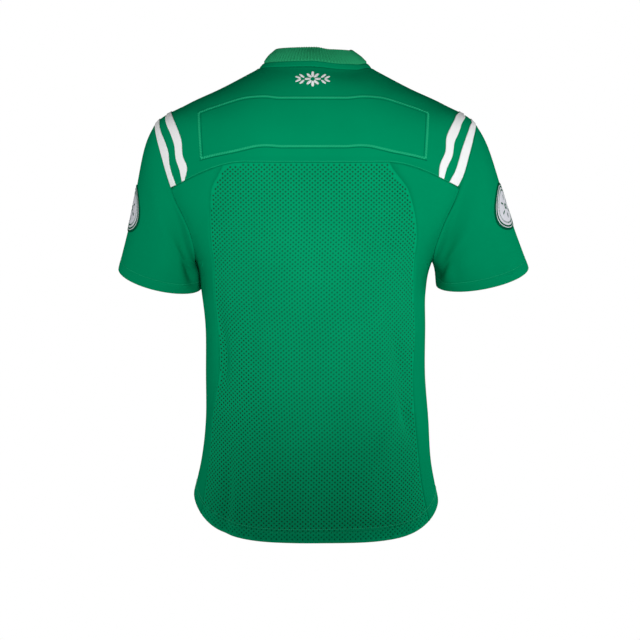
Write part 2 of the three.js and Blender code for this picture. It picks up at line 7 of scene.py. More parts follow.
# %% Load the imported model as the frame
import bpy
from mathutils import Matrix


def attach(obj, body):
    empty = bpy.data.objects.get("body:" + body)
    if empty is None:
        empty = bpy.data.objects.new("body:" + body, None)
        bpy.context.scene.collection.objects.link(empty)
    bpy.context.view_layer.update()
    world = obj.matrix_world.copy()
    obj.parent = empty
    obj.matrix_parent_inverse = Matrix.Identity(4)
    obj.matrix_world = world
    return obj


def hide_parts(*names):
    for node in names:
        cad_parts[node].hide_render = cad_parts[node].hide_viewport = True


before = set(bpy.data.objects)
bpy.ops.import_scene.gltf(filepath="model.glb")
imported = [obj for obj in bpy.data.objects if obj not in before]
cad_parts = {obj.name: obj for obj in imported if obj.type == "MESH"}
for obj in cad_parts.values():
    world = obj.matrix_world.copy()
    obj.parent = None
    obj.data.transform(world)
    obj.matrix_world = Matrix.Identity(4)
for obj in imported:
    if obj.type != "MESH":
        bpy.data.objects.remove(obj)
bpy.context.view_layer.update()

# %% [markdown]
# Lengths are easier to read in millimetres, so each table and formula below uses them. The last
# helper that fills a mesh turns them into metres, because Blender's frame is in metres.

# %% Modules and units
import bpy
import numpy as np
from mathutils.geometry import delaunay_2d_cdt

MM = 0.001
STEP = 1e-3  # a small step in angle or level, for slopes


def lerp(start, end, share):
    """start plus share times the way from start to end."""
    return start + (end - start) * share


def smoothstep(value, low, high):
    """0 below low, 1 above high, and 3s^2 - 2s^3 between them."""
    share = np.clip((value - low) / (high - low), 0, 1)
    return share * share * (3 - 2 * share)


def bell(distance, width):
    """1 at no distance, falling as exp(-(distance / width)^2)."""
    return np.exp(-((distance / width) ** 2))


print("lengths in mm, times", MM, "in the mesh")

# %% [markdown]
# A body in clothes is a stack of level rings, and a ring is an oval with its own half width and
# depths. Fourteen rings from the neck seam to the hem are enough, because a smooth curve runs
# through each column of the table. A mesh cut by hand or a cloth simulation could give the same
# outline, but a table keeps the seams of all the pieces on one shared surface.

# %% The rings of the body
RING_COLUMNS = ("half", "back", "front", "side_z", "back_z", "front_z", "square", "vee", "flat",
                "slant", "shift", "swing", "panel")
RING_ROWS = [
    (91, 72, 104, -1, 0, -118, 2.0, 1.0, 1.0, 0, 0.0, 0, 59),
    (152, 98, 114, -33, -24, -132, 2.1, 0.5, 1.0, 0, 0.0, 0, 59),
    (208, 117, 122, -59, -56, -150, 2.2, 0.2, 1.0, 0, 0.0, 0, 59),
    (260, 128, 129, -91, -99, -172, 2.3, 0.0, 1.0, 0, 0.0, 3, 59),
    (272, 133, 133, -150, -151, -198, 2.3, 0.0, 1.0, 0, 0.0, 3, 59),
    (259, 135, 136, -207, -202, -230, 2.3, 0.0, 1.0, 0, 0.0, 2, 54),
    (226, 135, 138, -262, -252, -268, 2.3, 0.0, 1.0, 0, 0.0, 1, 46),
    (193, 134, 139, -316, -310, -314, 2.3, 0.0, 1.0, 0, 2.0, 0, 37),
    (184, 131, 139, -366, -370, -370, 2.3, 0.0, 1.0, 0, 3.0, -1, 33),
    (181, 127, 138, -424, -438, -438, 2.3, 0.0, 1.0, 0, 0.0, -1, 31),
    (181, 125, 138, -500, -520, -516, 2.3, 0.0, 1.0, 0, 0.0, 0, 32),
    (184.2, 128, 140, -575, -600, -594, 2.3, 0.0, 1.4, 0, -2.7, 3, 29),
    (190, 136, 144, -642, -680, -672, 2.3, 0.0, 2.0, 3, -1.5, 3, 27.5),
    (203, 145, 148, -706, -754, -742, 2.3, 0.0, 2.7, 6, -1.0, 1, 28),
]
COLLAR_ROWS = [
    (91, 72, 104, -1, 0, -118, 2.0, 1.0, 1.0, 0, 0.0, 0, 59),
    (84, 68, 99, 7, 9, -105, 2.0, 1.0, 1.0, 0, 0.0, 0, 59),
    (74, 62, 93, 19, 21, -84, 2.0, 1.0, 1.0, 0, 1.0, 0, 59),
    (60, 52, 86, 30, 31, -66, 2.0, 1.0, 1.0, 0, 2.0, 0, 59),
]
RINGS = dict(zip(RING_COLUMNS, np.array(RING_ROWS, float).T))
COLLAR = dict(zip(RING_COLUMNS, np.array(COLLAR_ROWS, float).T))
HEM = len(RING_ROWS) - 1
NECK_SAG = 4.2  # mm that the neck seam hangs lower right of the centre back
COLLAR_SAG = 3.1  # mm that the collar's top edge hangs lower there
print(len(RING_ROWS), "body rings,", len(COLLAR_ROWS), "collar rings")


# %% Read a column at any level
def column(table, name, level):
    """A smooth curve through a column: on each span a cubic whose slope at a row is half the
    difference of the rows beside it, and at the two ends the span's own difference."""
    rows = table[name]
    last = len(rows) - 1
    at = np.clip(np.floor(level).astype(int), 0, last - 1)
    share = level - at
    before, here, there, after = (rows[np.clip(at + i, 0, last)] for i in (-1, 0, 1, 2))
    start = np.where(at == 0, there - here, (there - before) / 2)
    end = np.where(at == last - 1, there - here, (after - here) / 2)
    square, cube = share ** 2, share ** 3
    return ((2 * cube - 3 * square + 1) * here + (cube - 2 * square + share) * start
            + (3 * square - 2 * cube) * there + (cube - square) * end)


def oval(angle, square):
    """A point of the oval |x|^square + |y|^square = 1 in the direction of angle."""
    across, deep = np.cos(angle), np.sin(angle)
    reach = (np.abs(across) ** square + np.abs(deep) ** square) ** (-1 / square)
    return reach * across, reach * deep


def ring_point(table, angle, level):
    """A point of a ring: angle 0 is the wearer's left, 90 degrees the centre back. x and y are the
    oval times the half width and the depth; z goes from the side's height to the middle's."""
    angle, level = np.broadcast_arrays(np.asarray(angle, float), np.asarray(level, float))
    read = {name: column(table, name, level) for name in RING_COLUMNS}
    across, deep = oval(angle, read["square"])
    sideways = np.cos(angle)
    rounded = 1 - np.abs(sideways) ** (2 * read["flat"])
    pointed = (1 - np.abs(sideways)) ** 1.2
    share = np.where(deep > 0, rounded, lerp(rounded, pointed, read["vee"]))
    depth = np.where(deep > 0, read["back"], read["front"])
    middle = np.where(deep > 0, read["back_z"], read["front_z"])
    height = lerp(read["side_z"], middle, share) + read["slant"] * sideways ** 3
    x = read["half"] * across + read["shift"]
    up = level / 3 if table is COLLAR else 0 * level
    fade = 1.0 if table is COLLAR else 1 - smoothstep(level, 0, 1.4)
    start = smoothstep(-x - lerp(-12, 0, up), 0, lerp(60, 24, up))
    behind = smoothstep(deep, -0.3, 0.3) * (1 - smoothstep(-x, 66, 88))
    sag = lerp(NECK_SAG, COLLAR_SAG, up) * start * behind * fade
    return np.stack([x, depth * deep, height - sag], axis=-1)


print("hem at the centre back:", ring_point(RINGS, np.pi / 2, HEM).round(1))

# %% [markdown]
# Worn cloth hangs in long soft folds. Each fold here is a bell-shaped ridge or trough laid on the
# body: a middle, a half length, a half width, a lean and a height. The first rows are the large
# folds of the solids, and the rest are finer ones that only this model carries.

# %% The folds of the body
FOLD_COLUMNS = ("face", "x", "z", "run", "width", "lean", "rise")
FOLD_ROWS = [
    (1, -152, -470, 90, 14, 3, -5), (1, -118, -500, 110, 22, 6, 3), (1, 158, -500, 110, 13, -2, -5),
    (1, 150, -650, 70, 15, -4, -4), (1, 84, -560, 170, 28, 0, 3), (1, -84, -600, 140, 28, -3, 2.5),
    (1, -75, -722, 75, 13, 84, -4), (1, -176, -235, 55, 12, 24, -4), (1, 178, -238, 55, 12, -24, -4),
    (-1, 120, -470, 120, 20, -4, -4), (-1, -126, -520, 120, 18, 5, -4), (-1, -60, -600, 130, 26, 0, 3),
    (-1, 66, -640, 100, 24, 3, 3), (-1, 172, -236, 58, 12, -26, -5), (-1, -172, -236, 58, 12, 26, -5),
]
FINE_FOLD_ROWS = [
    (1, -140, -385, 46, 9, 14, -2.2), (1, -128, -432, 60, 10, 4, 1.6), (1, -166, -540, 70, 9, -4, -2.0),
    (1, 166, -455, 60, 8, 4, 1.6), (1, 134, -420, 70, 10, -8, -1.8), (1, 118, -612, 70, 12, 5, -1.6),
    (1, -30, -650, 90, 18, -4, -1.4), (1, 30, -680, 70, 16, 3, 1.3), (1, -110, -690, 60, 12, 8, -1.5),
    (1, -160, -300, 40, 8, 30, -1.8), (1, 160, -305, 40, 8, -30, -1.8), (1, 20, -420, 120, 24, 2, -1.2),
    (1, -50, -350, 90, 22, 6, 1.0), (1, 70, -330, 90, 20, -6, -1.0), (1, 60, -724, 60, 10, 88, -1.6),
    (-1, 150, -340, 60, 10, -22, -2.0), (-1, -150, -345, 60, 10, 22, -2.0), (-1, 20, -450, 120, 26, 2, -1.4),
    (-1, -30, -690, 60, 16, -4, -1.6), (-1, 110, -660, 60, 14, 4, -1.8), (-1, -120, -680, 60, 12, -5, -1.6),
    (-1, 90, -250, 60, 14, -40, -1.4), (-1, -90, -255, 60, 14, 40, -1.4),
    (1, 163, -560, 55, 10, -15, 14.0), (1, 151, -466, 52, 9, 2, -24.0), (1, 144, -676, 62, 9, -2, -15.0),
    (1, -136, -464, 50, 12, 12, -17.0), (1, -149, -560, 38, 10, 15, -22.0), (1, -115, -590, 50, 12, -25, 5.0),
    (1, -85, -733, 75, 9, 88, -6.0), (1, -138, -296, 42, 14, 0, 3.0), (1, 100, -420, 120, 14, 2, -3.5),
]
FOLDS = np.array(FOLD_ROWS + FINE_FOLD_ROWS, float)


def fold_rise(points):
    """The sum over the folds of rise times exp(-(along / run)^2 - (across / width)^2)."""
    rise = np.zeros(points.shape[:-1])
    back = points[..., 1] > 0
    for face, x, z, run, width, lean, height in FOLDS:
        turned = np.radians(lean)
        dx, dz = points[..., 0] - x, points[..., 2] - z
        along = (dz * np.cos(turned) + dx * np.sin(turned)) / run
        across = (dx * np.cos(turned) - dz * np.sin(turned)) / width
        rise += np.where(back == (face > 0), height * np.exp(-along ** 2 - across ** 2), 0)
    return rise


def body_point(angle, level):
    """A ring's point moved outwards by the folds, which fade to nothing at the sides."""
    points = ring_point(RINGS, angle, level)
    angle = np.broadcast_to(angle, points.shape[:-1])
    rise = fold_rise(points) * np.sin(angle) ** 2
    points[..., 0] += np.cos(angle) * rise
    points[..., 1] += np.sin(angle) * rise
    return points


def normal_of(surface, u, v, sign):
    """sign times the unit cross product of the two slopes, taken by central differences."""
    along = surface(u + STEP, v) - surface(u - STEP, v)
    across = surface(u, v + STEP) - surface(u, v - STEP)
    normal = sign * np.cross(along, across)
    return normal / np.linalg.norm(normal, axis=-1, keepdims=True)


def body_spot(angle, level):
    """A point of the body and its outward unit normal."""
    angle, level = np.broadcast_arrays(np.asarray(angle, float), np.asarray(level, float))
    return body_point(angle, level), normal_of(body_point, angle, level, -1)


print(len(FOLDS), "folds; the back bulges by", fold_rise(body_point(np.array([1.2]), np.array([10.0]))))

# %% [markdown]
# Seams are lines on that surface. The armhole is an oval in angle and level, the yoke seam runs
# across the shoulder blades and dips towards the arms, and the side seams follow the panel column
# of the table. Naming a seam once lets both of its pieces use it.

# %% The seams
ARM_LEVEL = 5.0
ARM_LEVELS = 2.0
ARM_ANGLE = np.radians(33)
ARM_SQUARE = 2.4
ARM_TURN_STEP = ARM_ANGLE / 90
ARM_LEVEL_STEP = ARM_LEVELS / 121
YOKE_LEVEL = 4.0
YOKE_DIP = 0.93
YOKE_DIP_START = 0.4
GATHER = 7.8  # level from which the side panels' columns lie evenly
SEAM_SLANT = 3.2  # degrees


def yoke_seam(angle):
    """The seam's level: YOKE_LEVEL at the back, rising smoothly by YOKE_DIP towards the sides."""
    return YOKE_LEVEL + YOKE_DIP * smoothstep(np.abs(np.cos(angle)), YOKE_DIP_START, 1)


def ring_angle(side, from_side):
    """The ring angle of a point that lies from_side away from the wearer's left or right."""
    return from_side if side > 0 else np.pi - from_side


def arm_spot(side, turn, away=0.0):
    """A point of the armhole's oval grown by away mm: its angle from the side, ring angle, level."""
    across, deep = oval(turn, ARM_SQUARE)
    from_side = (ARM_ANGLE + away * ARM_TURN_STEP) * deep
    level = ARM_LEVEL - (ARM_LEVELS + away * ARM_LEVEL_STEP) * across
    return from_side, ring_angle(side, from_side), level


def root(test, low, high):
    """Where test changes sign, by halving the span forty times."""
    for _ in range(40):
        middle = (low + high) / 2
        low, high = (middle, high) if test(middle) < 0 else (low, middle)
    return (low + high) / 2


def seam_turn(away):
    """The turn at which the grown armhole meets the yoke seam."""
    def over(turn):
        from_side, _, level = arm_spot(1, turn, away)
        return level - yoke_seam(from_side)
    return root(over, 0.3, np.pi - 0.3)


def seam_angle(face, side, level):
    """The angle from the side where the side panel ends; face is 1 at the back and -1 in front. At
    the back the seam leaves the yoke slanting outwards, by SEAM_SLANT in all."""
    if face < 0:
        return -np.radians(column(RINGS, "panel", level))
    slanted = SEAM_SLANT * (1 - smoothstep(level, YOKE_LEVEL, YOKE_LEVEL + 0.9))
    return np.radians(column(RINGS, "panel", level) - side * column(RINGS, "swing", level) + slanted)


def seam_top(face, side):
    """The same angle where the side seam meets the yoke seam."""
    def over(level):
        return level - yoke_seam(seam_angle(face, side, np.float64(level)))
    return seam_angle(face, side, np.float64(root(over, YOKE_LEVEL, YOKE_LEVEL + 1)))


def wrapped(face, angle):
    """The right-hand seam's angle, one turn back for the front so that the panel runs one way."""
    return angle if face > 0 else angle - 2 * np.pi


def panel_angle(face, share, level):
    """From the left side seam at share 0 to the right one at share 1, at a level."""
    left = ring_angle(1, seam_angle(face, 1, level))
    right = wrapped(face, ring_angle(-1, seam_angle(face, -1, level)))
    return lerp(left, right, share)


def panel_top(face, share):
    """A point of the panel's top edge, as angle and level on the yoke seam."""
    left = ring_angle(1, seam_top(face, 1))
    right = wrapped(face, ring_angle(-1, seam_top(face, -1)))
    angle = lerp(left, right, share)
    return angle, yoke_seam(angle)


def arm_reach(level):
    """How far from the side the armhole's back edge lies at a level."""
    share = np.minimum(np.abs(level - ARM_LEVEL) / ARM_LEVELS, 1)
    return ARM_ANGLE * (1 - share ** ARM_SQUARE) ** (1 / ARM_SQUARE)


CORNER = seam_turn(0)
print("the armhole meets the yoke seam at", round(float(np.degrees(CORNER)), 1), "degrees")

# %% [markdown]
# A sleeve is a tube from the armhole to the cuff. Each of its lines is straight in plan, bows a
# little at the shoulder's head, leaves the body sideways under the arm, and carries its own folds.

# %% The sleeves
SEAM_GAP = 0.36
ARMPIT_LIFT = 1.2
BOW_PEAK = 0.2
CREASE = 11.0  # mm that the sleeve falls in behind the armpit
CUFFS = {
    "left": dict(side=1, out=258, depth=-32, height=-345, half_width=71, half_depth=72,
                 tilt=14, lean=12, bow=8, gusset=27),
    "right": dict(side=-1, out=277, depth=-30, height=-342, half_width=78, half_depth=72,
                  tilt=12, lean=12, bow=7, gusset=24),
}
SLEEVE_FOLDS = {  # turn, share of the length, widths round and along, rise
    "left": [(138, 0.40, 17, 0.40, -6), (95, 0.72, 24, 0.22, 3), (-120, 0.42, 18, 0.36, -5),
             (60, 0.80, 14, 0.20, -1.2), (20, 0.25, 18, 0.16, -1.0), (112, 0.50, 9, 0.30, -1.4),
             (150, 0.62, 15, 0.42, -8), (178, 0.40, 26, 0.30, 3)],
    "right": [(142, 0.42, 16, 0.36, -7), (104, 0.62, 22, 0.20, 5), (-118, 0.42, 18, 0.36, -5),
              (70, 0.82, 14, 0.18, -1.4), (15, 0.28, 18, 0.16, -1.0), (122, 0.72, 8, 0.25, -1.4),
              (136, 0.62, 14, 0.26, 6), (168, 0.50, 17, 0.45, -7)],
}


def cuff_frame(cuff):
    """The cuff's own directions: outwards and down turned by tilt, backwards swung by lean."""
    tilt, lean = np.radians(cuff["tilt"]), np.radians(cuff["lean"])
    outwards = np.array([cuff["side"] * np.cos(tilt), 0, np.sin(tilt)])
    down = np.array([cuff["side"] * np.sin(tilt), 0, -np.cos(tilt)])
    backwards = np.array([0, np.cos(lean), 0]) + down * np.sin(lean)
    return outwards, backwards


def sleeve_rise(name, turn, share):
    """The sum of the sleeve's bell-shaped folds at a turn and a share of its length."""
    rise = np.zeros(np.shape(turn))
    for fold_turn, down, around, along, height in SLEEVE_FOLDS[name]:
        degrees = (np.degrees(turn) - fold_turn + 180) % 360 - 180
        rise += height * bell(degrees, around) * bell(share - down, along)
    return rise


def crease(turn, share):
    """The crease behind the armpit: a bell round 128 degrees, deepest at a twentieth of the way."""
    along = smoothstep(share, 0, 0.05) * (1 - smoothstep(share, 0.05, 0.32))
    return -CREASE * bell(np.degrees(turn) - 128, 30) * along


def sleeve_point(name, turn, share):
    """A straight line from the armhole to the cuff at each turn, plus the bow, which is
    t(1-t)^4 scaled to 1 at its peak, the gusset under the arm, and the folds."""
    turn, share = np.broadcast_arrays(np.asarray(turn, float), np.asarray(share, float))
    cuff = CUFFS[name]
    outwards, backwards = cuff_frame(cuff)
    under = (1 - np.cos(turn)) / 2
    _, angle, level = arm_spot(cuff["side"], turn, -SEAM_GAP)
    start, normal = body_spot(angle, level)
    start = start + normal * (ARMPIT_LIFT * under)[..., None]
    away = np.cos(turn)[..., None] * outwards + np.sin(turn)[..., None] * backwards
    middle = np.array([cuff["side"] * cuff["out"], cuff["depth"], cuff["height"]])
    end = (middle + (cuff["half_width"] * np.cos(turn))[..., None] * outwards
           + (cuff["half_depth"] * np.sin(turn))[..., None] * backwards)
    power = 1 / BOW_PEAK - 1
    bow = share * (1 - share) ** power / (BOW_PEAK * (1 - BOW_PEAK) ** power)
    folds = sleeve_rise(name, turn, share) * np.sin(np.pi * share)
    rise = cuff["bow"] * bow * (1 - under) + folds + crease(turn, share)
    points = lerp(start, end, share[..., None]) + away * rise[..., None]
    points[..., 0] += cuff["side"] * cuff["gusset"] * bow * under * np.sin(turn) ** 2
    return points


def sleeve_spot(name, turn, share):
    """A sleeve's point and outward normal, blended into the body's normal over the shoulder."""
    turn, share = np.broadcast_arrays(np.asarray(turn, float), np.asarray(share, float))
    side = CUFFS[name]["side"]
    inside = np.maximum(share, 2 * STEP)
    normal = normal_of(lambda u, v: sleeve_point(name, u, v), turn, inside, -side)
    _, angle, level = arm_spot(side, turn)
    _, body_normal = body_spot(angle, level)
    part = (1 - smoothstep(share, 0, 0.12)) * smoothstep(np.cos(turn), -0.2, 0.3)
    normal = lerp(normal, body_normal, part[..., None])
    return sleeve_point(name, turn, share), normal / np.linalg.norm(normal, axis=-1, keepdims=True)


print("left cuff, outermost point:", sleeve_point("left", 0.0, 1.0).round(1))

# %% [markdown]
# Blender keeps a mesh as flat arrays: points, corners and faces. foreach_set fills each of them in
# one call, which is far quicker than adding vertices in a loop. A part below is a set of points
# with its faces, and a piece of cloth is one mesh made of one or more parts.


# %% Fill a mesh from parts
def part(points, faces, cloth, paint=0):
    """Points in mm, faces of one size, the cloth coordinates in mm, and a material's number."""
    return dict(points=points.reshape(-1, 3), faces=faces, cloth=cloth.reshape(-1, 2), paint=paint)


def grid_faces(rows, columns, ring=False):
    """The four corners of each cell of a grid of points; a ring joins its last column to its first."""
    row = np.arange(rows - 1)[:, None]
    here = np.arange(columns if ring else columns - 1)[None, :]
    there = (here + 1) % columns
    corners = [row * columns + here, (row + 1) * columns + here,
               (row + 1) * columns + there, row * columns + there]
    return np.stack(corners, axis=-1).reshape(-1, 4)


def facing(points, faces, outward):
    """The faces turned so that most of them look along the outward vectors of their points."""
    corner = [points[faces[:, i]] for i in range(3)]
    normals = np.cross(corner[1] - corner[0], corner[2] - corner[0])
    looks = np.einsum("ij,ij->", normals, outward[faces[:, 0]])
    return faces if looks > 0 else faces[:, ::-1]


def grid_part(points, outward, cloth, ring=False, paint=0):
    """A grid of points as a part, with its faces turned outwards."""
    rows, columns = points.shape[:2]
    faces = facing(points.reshape(-1, 3), grid_faces(rows, columns, ring), outward.reshape(-1, 3))
    return part(points, faces, cloth, paint)


def piece(name, parts, materials, replaces=()):
    """One smooth mesh object from the parts, riding on the root body."""
    starts = np.cumsum([0] + [len(p["points"]) for p in parts])
    points = np.concatenate([p["points"] for p in parts])
    cloth = np.concatenate([p["cloth"] for p in parts])
    corners = np.concatenate([(p["faces"] + at).ravel() for p, at in zip(parts, starts)])
    sizes = np.concatenate([np.full(len(p["faces"]), p["faces"].shape[1]) for p in parts])
    paints = np.concatenate([np.full(len(p["faces"]), p["paint"]) for p in parts])
    mesh = bpy.data.meshes.new(name)
    mesh.vertices.add(len(points))
    mesh.vertices.foreach_set("co", (points * MM).astype(np.float32).ravel())
    mesh.loops.add(len(corners))
    mesh.loops.foreach_set("vertex_index", corners.astype(np.int32))
    mesh.polygons.add(len(sizes))
    mesh.polygons.foreach_set("loop_start", np.concatenate([[0], np.cumsum(sizes)[:-1]]).astype(np.int32))
    mesh.polygons.foreach_set("material_index", paints.astype(np.int32))
    mesh.polygons.foreach_set("use_smooth", np.ones(len(sizes), bool))
    layer = mesh.uv_layers.new(name="cloth")
    layer.uv.foreach_set("vector", (cloth[corners] * MM).astype(np.float32).ravel())
    mesh.update(calc_edges=True)
    mesh.validate()
    obj = bpy.data.objects.new(name, mesh)
    bpy.context.scene.collection.objects.link(obj)
    for material in materials:
        mesh.materials.append(material)
    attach(obj, "root")
    if replaces:
        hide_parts(*replaces)
    print(name, len(points), "points", int((sizes - 2).sum()), "triangles")
    return obj


# %% [markdown]
# The colours are the photograph's deep green and clean white. Knitted cloth scatters light softly,
# so each material is rough with no sheen, and a fine bump follows the cloth's own grain. The
# grain is drawn in the cloth coordinates that each piece carries, so it bends with the folds.

# %% Materials of the cloths
GREEN = (0.0, 0.190, 0.080)
MESH_GREEN = (0.0, 0.234, 0.098)
# Painted shade: the near-black bottoms of the mesh's holes, where the open mesh shows the shaded inside of
# the jersey.
HOLE_PAINTED_SHADE_GREEN = (0.010, 0.013, 0.006)
# The bottoms of the hem's holes: the green of the turned-up inner layer, darkened as painted shade.
HEM_HOLE_GREEN_AND_PAINTED_SHADE = (0.0, 0.085, 0.034)
# The rib knit's own lighter, redder green, painted lighter still in place of light that its upturned face
# does not get.
RIB_GREEN_WITH_PAINTED_LIGHT = (0.016, 0.260, 0.110)
THREAD_GREEN = (0.015, 0.350, 0.165)
# Dark green of the patches' embroidered rings, also used for painted shadow lines beside the nameplate's
# border.
DARK_GREEN_AND_PAINTED_SHADOW = (0.0, 0.080, 0.036)
WHITE = (0.67, 0.68, 0.68)
PATCH_WHITE = (0.52, 0.53, 0.57)
WAVE_PERIOD = 0.31416  # length of one band of a Wave texture at scale 1


def cloth_material(name, colour, shade, roughness, sheen, wale, bump_mm, blotch=9.0):
    """A cloth: its colour drifts between colour and colour times shade with soft noise over the
    object, and its bump is a wave across the cloth coordinates every wale mm, roughened by noise."""
    material = bpy.data.materials.new(name)
    material.use_nodes = True
    nodes, links = material.node_tree.nodes, material.node_tree.links
    shader = nodes["Principled BSDF"]
    shader.inputs["Roughness"].default_value = roughness
    shader.inputs["Sheen Weight"].default_value = sheen
    shader.inputs["Sheen Roughness"].default_value = 0.4
    shader.inputs["Sheen Tint"].default_value = (*colour, 1)
    shader.inputs["Specular IOR Level"].default_value = 0.0
    place = nodes.new("ShaderNodeTexCoord")
    drift = nodes.new("ShaderNodeTexNoise")
    drift.inputs["Scale"].default_value = blotch
    drift.inputs["Detail"].default_value = 4.0
    links.new(place.outputs["Object"], drift.inputs["Vector"])
    ramp = nodes.new("ShaderNodeValToRGB")
    ramp.color_ramp.elements[0].position = 0.3
    ramp.color_ramp.elements[1].position = 0.7
    ramp.color_ramp.elements[0].color = (*(c * shade for c in colour), 1)
    ramp.color_ramp.elements[1].color = (*colour, 1)
    links.new(drift.outputs["Fac"], ramp.inputs["Fac"])
    links.new(ramp.outputs["Color"], shader.inputs["Base Color"])
    grain = nodes.new("ShaderNodeTexWave")
    grain.inputs["Scale"].default_value = WAVE_PERIOD / (wale * MM)
    grain.inputs["Distortion"].default_value = 1.5
    grain.inputs["Detail"].default_value = 2.0
    links.new(place.outputs["UV"], grain.inputs["Vector"])
    bump = nodes.new("ShaderNodeBump")
    bump.inputs["Strength"].default_value = 0.5
    bump.inputs["Distance"].default_value = bump_mm * MM
    links.new(grain.outputs["Fac"], bump.inputs["Height"])
    links.new(bump.outputs["Normal"], shader.inputs["Normal"])
    return material


SMOOTH_CLOTH = cloth_material("smooth_green_cloth", GREEN, 0.93, 0.7, 0.0, 0.9, 0.08)
MESH_CLOTH = cloth_material("mesh_green_cloth", MESH_GREEN, 0.92, 0.75, 0.0, 1.4, 0.12)
HOLE_SHADE = cloth_material("mesh_hole_painted_shade", HOLE_PAINTED_SHADE_GREEN, 0.8, 0.9, 0.0, 1.4, 0.05)
HEM_SHADE = cloth_material("hem_hole_inner_cloth_and_painted_shade", HEM_HOLE_GREEN_AND_PAINTED_SHADE, 0.9, 0.9, 0.0, 1.4, 0.05)
RIB_KNIT = cloth_material("rib_green_knit_with_painted_light", RIB_GREEN_WITH_PAINTED_LIGHT, 0.88, 0.8, 0.0, 0.7, 0.12)
WHITE_TRIM = cloth_material("white_twill", WHITE, 0.97, 0.6, 0.0, 0.8, 0.1)
GREEN_THREAD = cloth_material("green_thread", THREAD_GREEN, 0.9, 0.5, 0.0, 0.35, 0.05, 60.0)
DARK_THREAD_AND_PAINTED_SHADOW = cloth_material("dark_green_thread_and_painted_shadow", DARK_GREEN_AND_PAINTED_SHADOW, 0.8, 0.5, 0.0, 0.35, 0.05, 60.0)
WHITE_THREAD = cloth_material("white_thread", WHITE, 0.92, 0.5, 0.0, 0.35, 0.05, 60.0)
PATCH_THREAD = cloth_material("patch_white_thread", PATCH_WHITE, 0.92, 0.5, 0.0, 0.35, 0.05, 60.0)
print(len(bpy.data.materials), "materials")

# %% [markdown]
# Where two pieces are sewn, the cloth dips into the seam and swells a little beside it, over the
# folded allowance inside. The height of a sewn edge depends only on the distance to the seam, so a
# grid with rows close to its edges can carry it.

# %% Sewn edges
SEAM_DIP = 0.7
SEAM_SWELL = 0.45
ALLOWANCE = 2.2  # mm that the cut edge stands inwards behind the seam
NEAR = np.array([0, 0.4, 0.9, 1.6, 2.5, 3.6, 5, 7, 10])  # distances in mm of the rows beside a seam


def sewn(distance, swell=SEAM_SWELL):
    """A valley of SEAM_DIP at the seam and a swell 3.5 mm from it."""
    return swell * bell(distance - 3.5, 2.2) - SEAM_DIP * bell(distance, 1.1)


def shares(length, count, near_start=True, near_end=True):
    """Shares from 0 to 1 of a length in mm: close beside each sewn end, then count even steps."""
    start = NEAR / length if near_start else np.array([0.0])
    end = 1 - NEAR[::-1] / length if near_end else np.array([1.0])
    middle = np.linspace(start[-1], end[0], count + 1)[1:-1]
    return np.concatenate([start, middle, end])


def run_lengths(points, axis):
    """The length in mm from the grid's first row or column to each point."""
    steps = np.linalg.norm(np.diff(points, axis=axis), axis=-1)
    runs = np.cumsum(steps, axis=axis)
    first = np.zeros_like(np.take(runs, [0], axis=axis))
    return np.concatenate([first, runs], axis=axis)


def distance_to_ends(points, axis):
    """The distances along the grid to its first and its last row or column."""
    runs = run_lengths(points, axis)
    return runs, np.take(runs, [-1], axis=axis) - runs


def tucked(points, normals, start=True, end=True):
    """The grid with the seam's allowance: an extra first or last row, ALLOWANCE further in."""
    rows, outs = [points], [normals]
    if start:
        rows.insert(0, points[:1] - normals[:1] * ALLOWANCE)
        outs.insert(0, normals[:1])
    if end:
        rows.append(points[-1:] - normals[-1:] * ALLOWANCE)
        outs.append(normals[-1:])
    return np.concatenate(rows), np.concatenate(outs)


def sewn_part(points, normals, cloth, ring=False, sides=False, end=True):
    """A grid as a part with its allowances: at its first row, at its last if end, and at its
    sides if sides. The cloth coordinates of the extra rows repeat those beside them."""
    points, normals = tucked(points, normals, True, end)
    cloth = np.concatenate([cloth[:1], cloth, cloth[-1:]] if end else [cloth[:1], cloth])
    if sides:
        turned = tucked(points.swapaxes(0, 1), normals.swapaxes(0, 1))
        points, normals = (a.swapaxes(0, 1) for a in turned)
        cloth = np.concatenate([cloth[:, :1], cloth, cloth[:, -1:]], axis=1)
    return grid_part(points, normals, cloth, ring)


def cloth_of(points):
    """Cloth coordinates of a grid: the lengths across and down it."""
    return np.stack([run_lengths(points, 1), run_lengths(points, 0)], axis=-1)


print("rows beside a seam at", NEAR, "mm")

# %% [markdown]
# The yoke goes over both shoulders in one piece, with a hole for the neck. Each of its lines runs
# from the neck seam to the outer edge, so it is a ring-shaped grid. The outer edge is the armhole,
# a short stretch of seam, the panel's top, and the same again, once round.


# %% The yoke's outer edge
def placed(side, from_side, level):
    """Ring angles and levels of points given by their angle from one side."""
    return np.stack([ring_angle(side, from_side), level], axis=-1)


def short_seam(start, end, count=7):
    """A stretch of yoke seam between two angles from the side."""
    from_side = np.linspace(start, end, count)
    return from_side, yoke_seam(from_side)


def yoke_edge(arc_count=73, panel_count=121):
    """The yoke's outer edge once round from the left armhole's front corner."""
    corner = arm_spot(1, CORNER)[0]
    arc_from_side, _, arc_level = arm_spot(1, np.linspace(-CORNER, CORNER, arc_count))
    share = np.linspace(0, 1, panel_count)
    turn_on = np.array([2 * np.pi, 0])
    stretches = [
        placed(1, arc_from_side, arc_level),
        placed(1, *short_seam(corner, seam_top(1, 1))),
        np.stack(panel_top(1, share), axis=-1),
        placed(-1, *short_seam(seam_top(1, -1), corner)),
        placed(-1, arc_from_side, arc_level)[::-1],
        placed(-1, *short_seam(-corner, seam_top(-1, -1))),
        np.stack(panel_top(-1, share), axis=-1)[::-1] + turn_on,
        placed(1, *short_seam(seam_top(-1, 1), -corner)) + turn_on,
    ]
    return np.concatenate([stretch[:-1] for stretch in stretches])


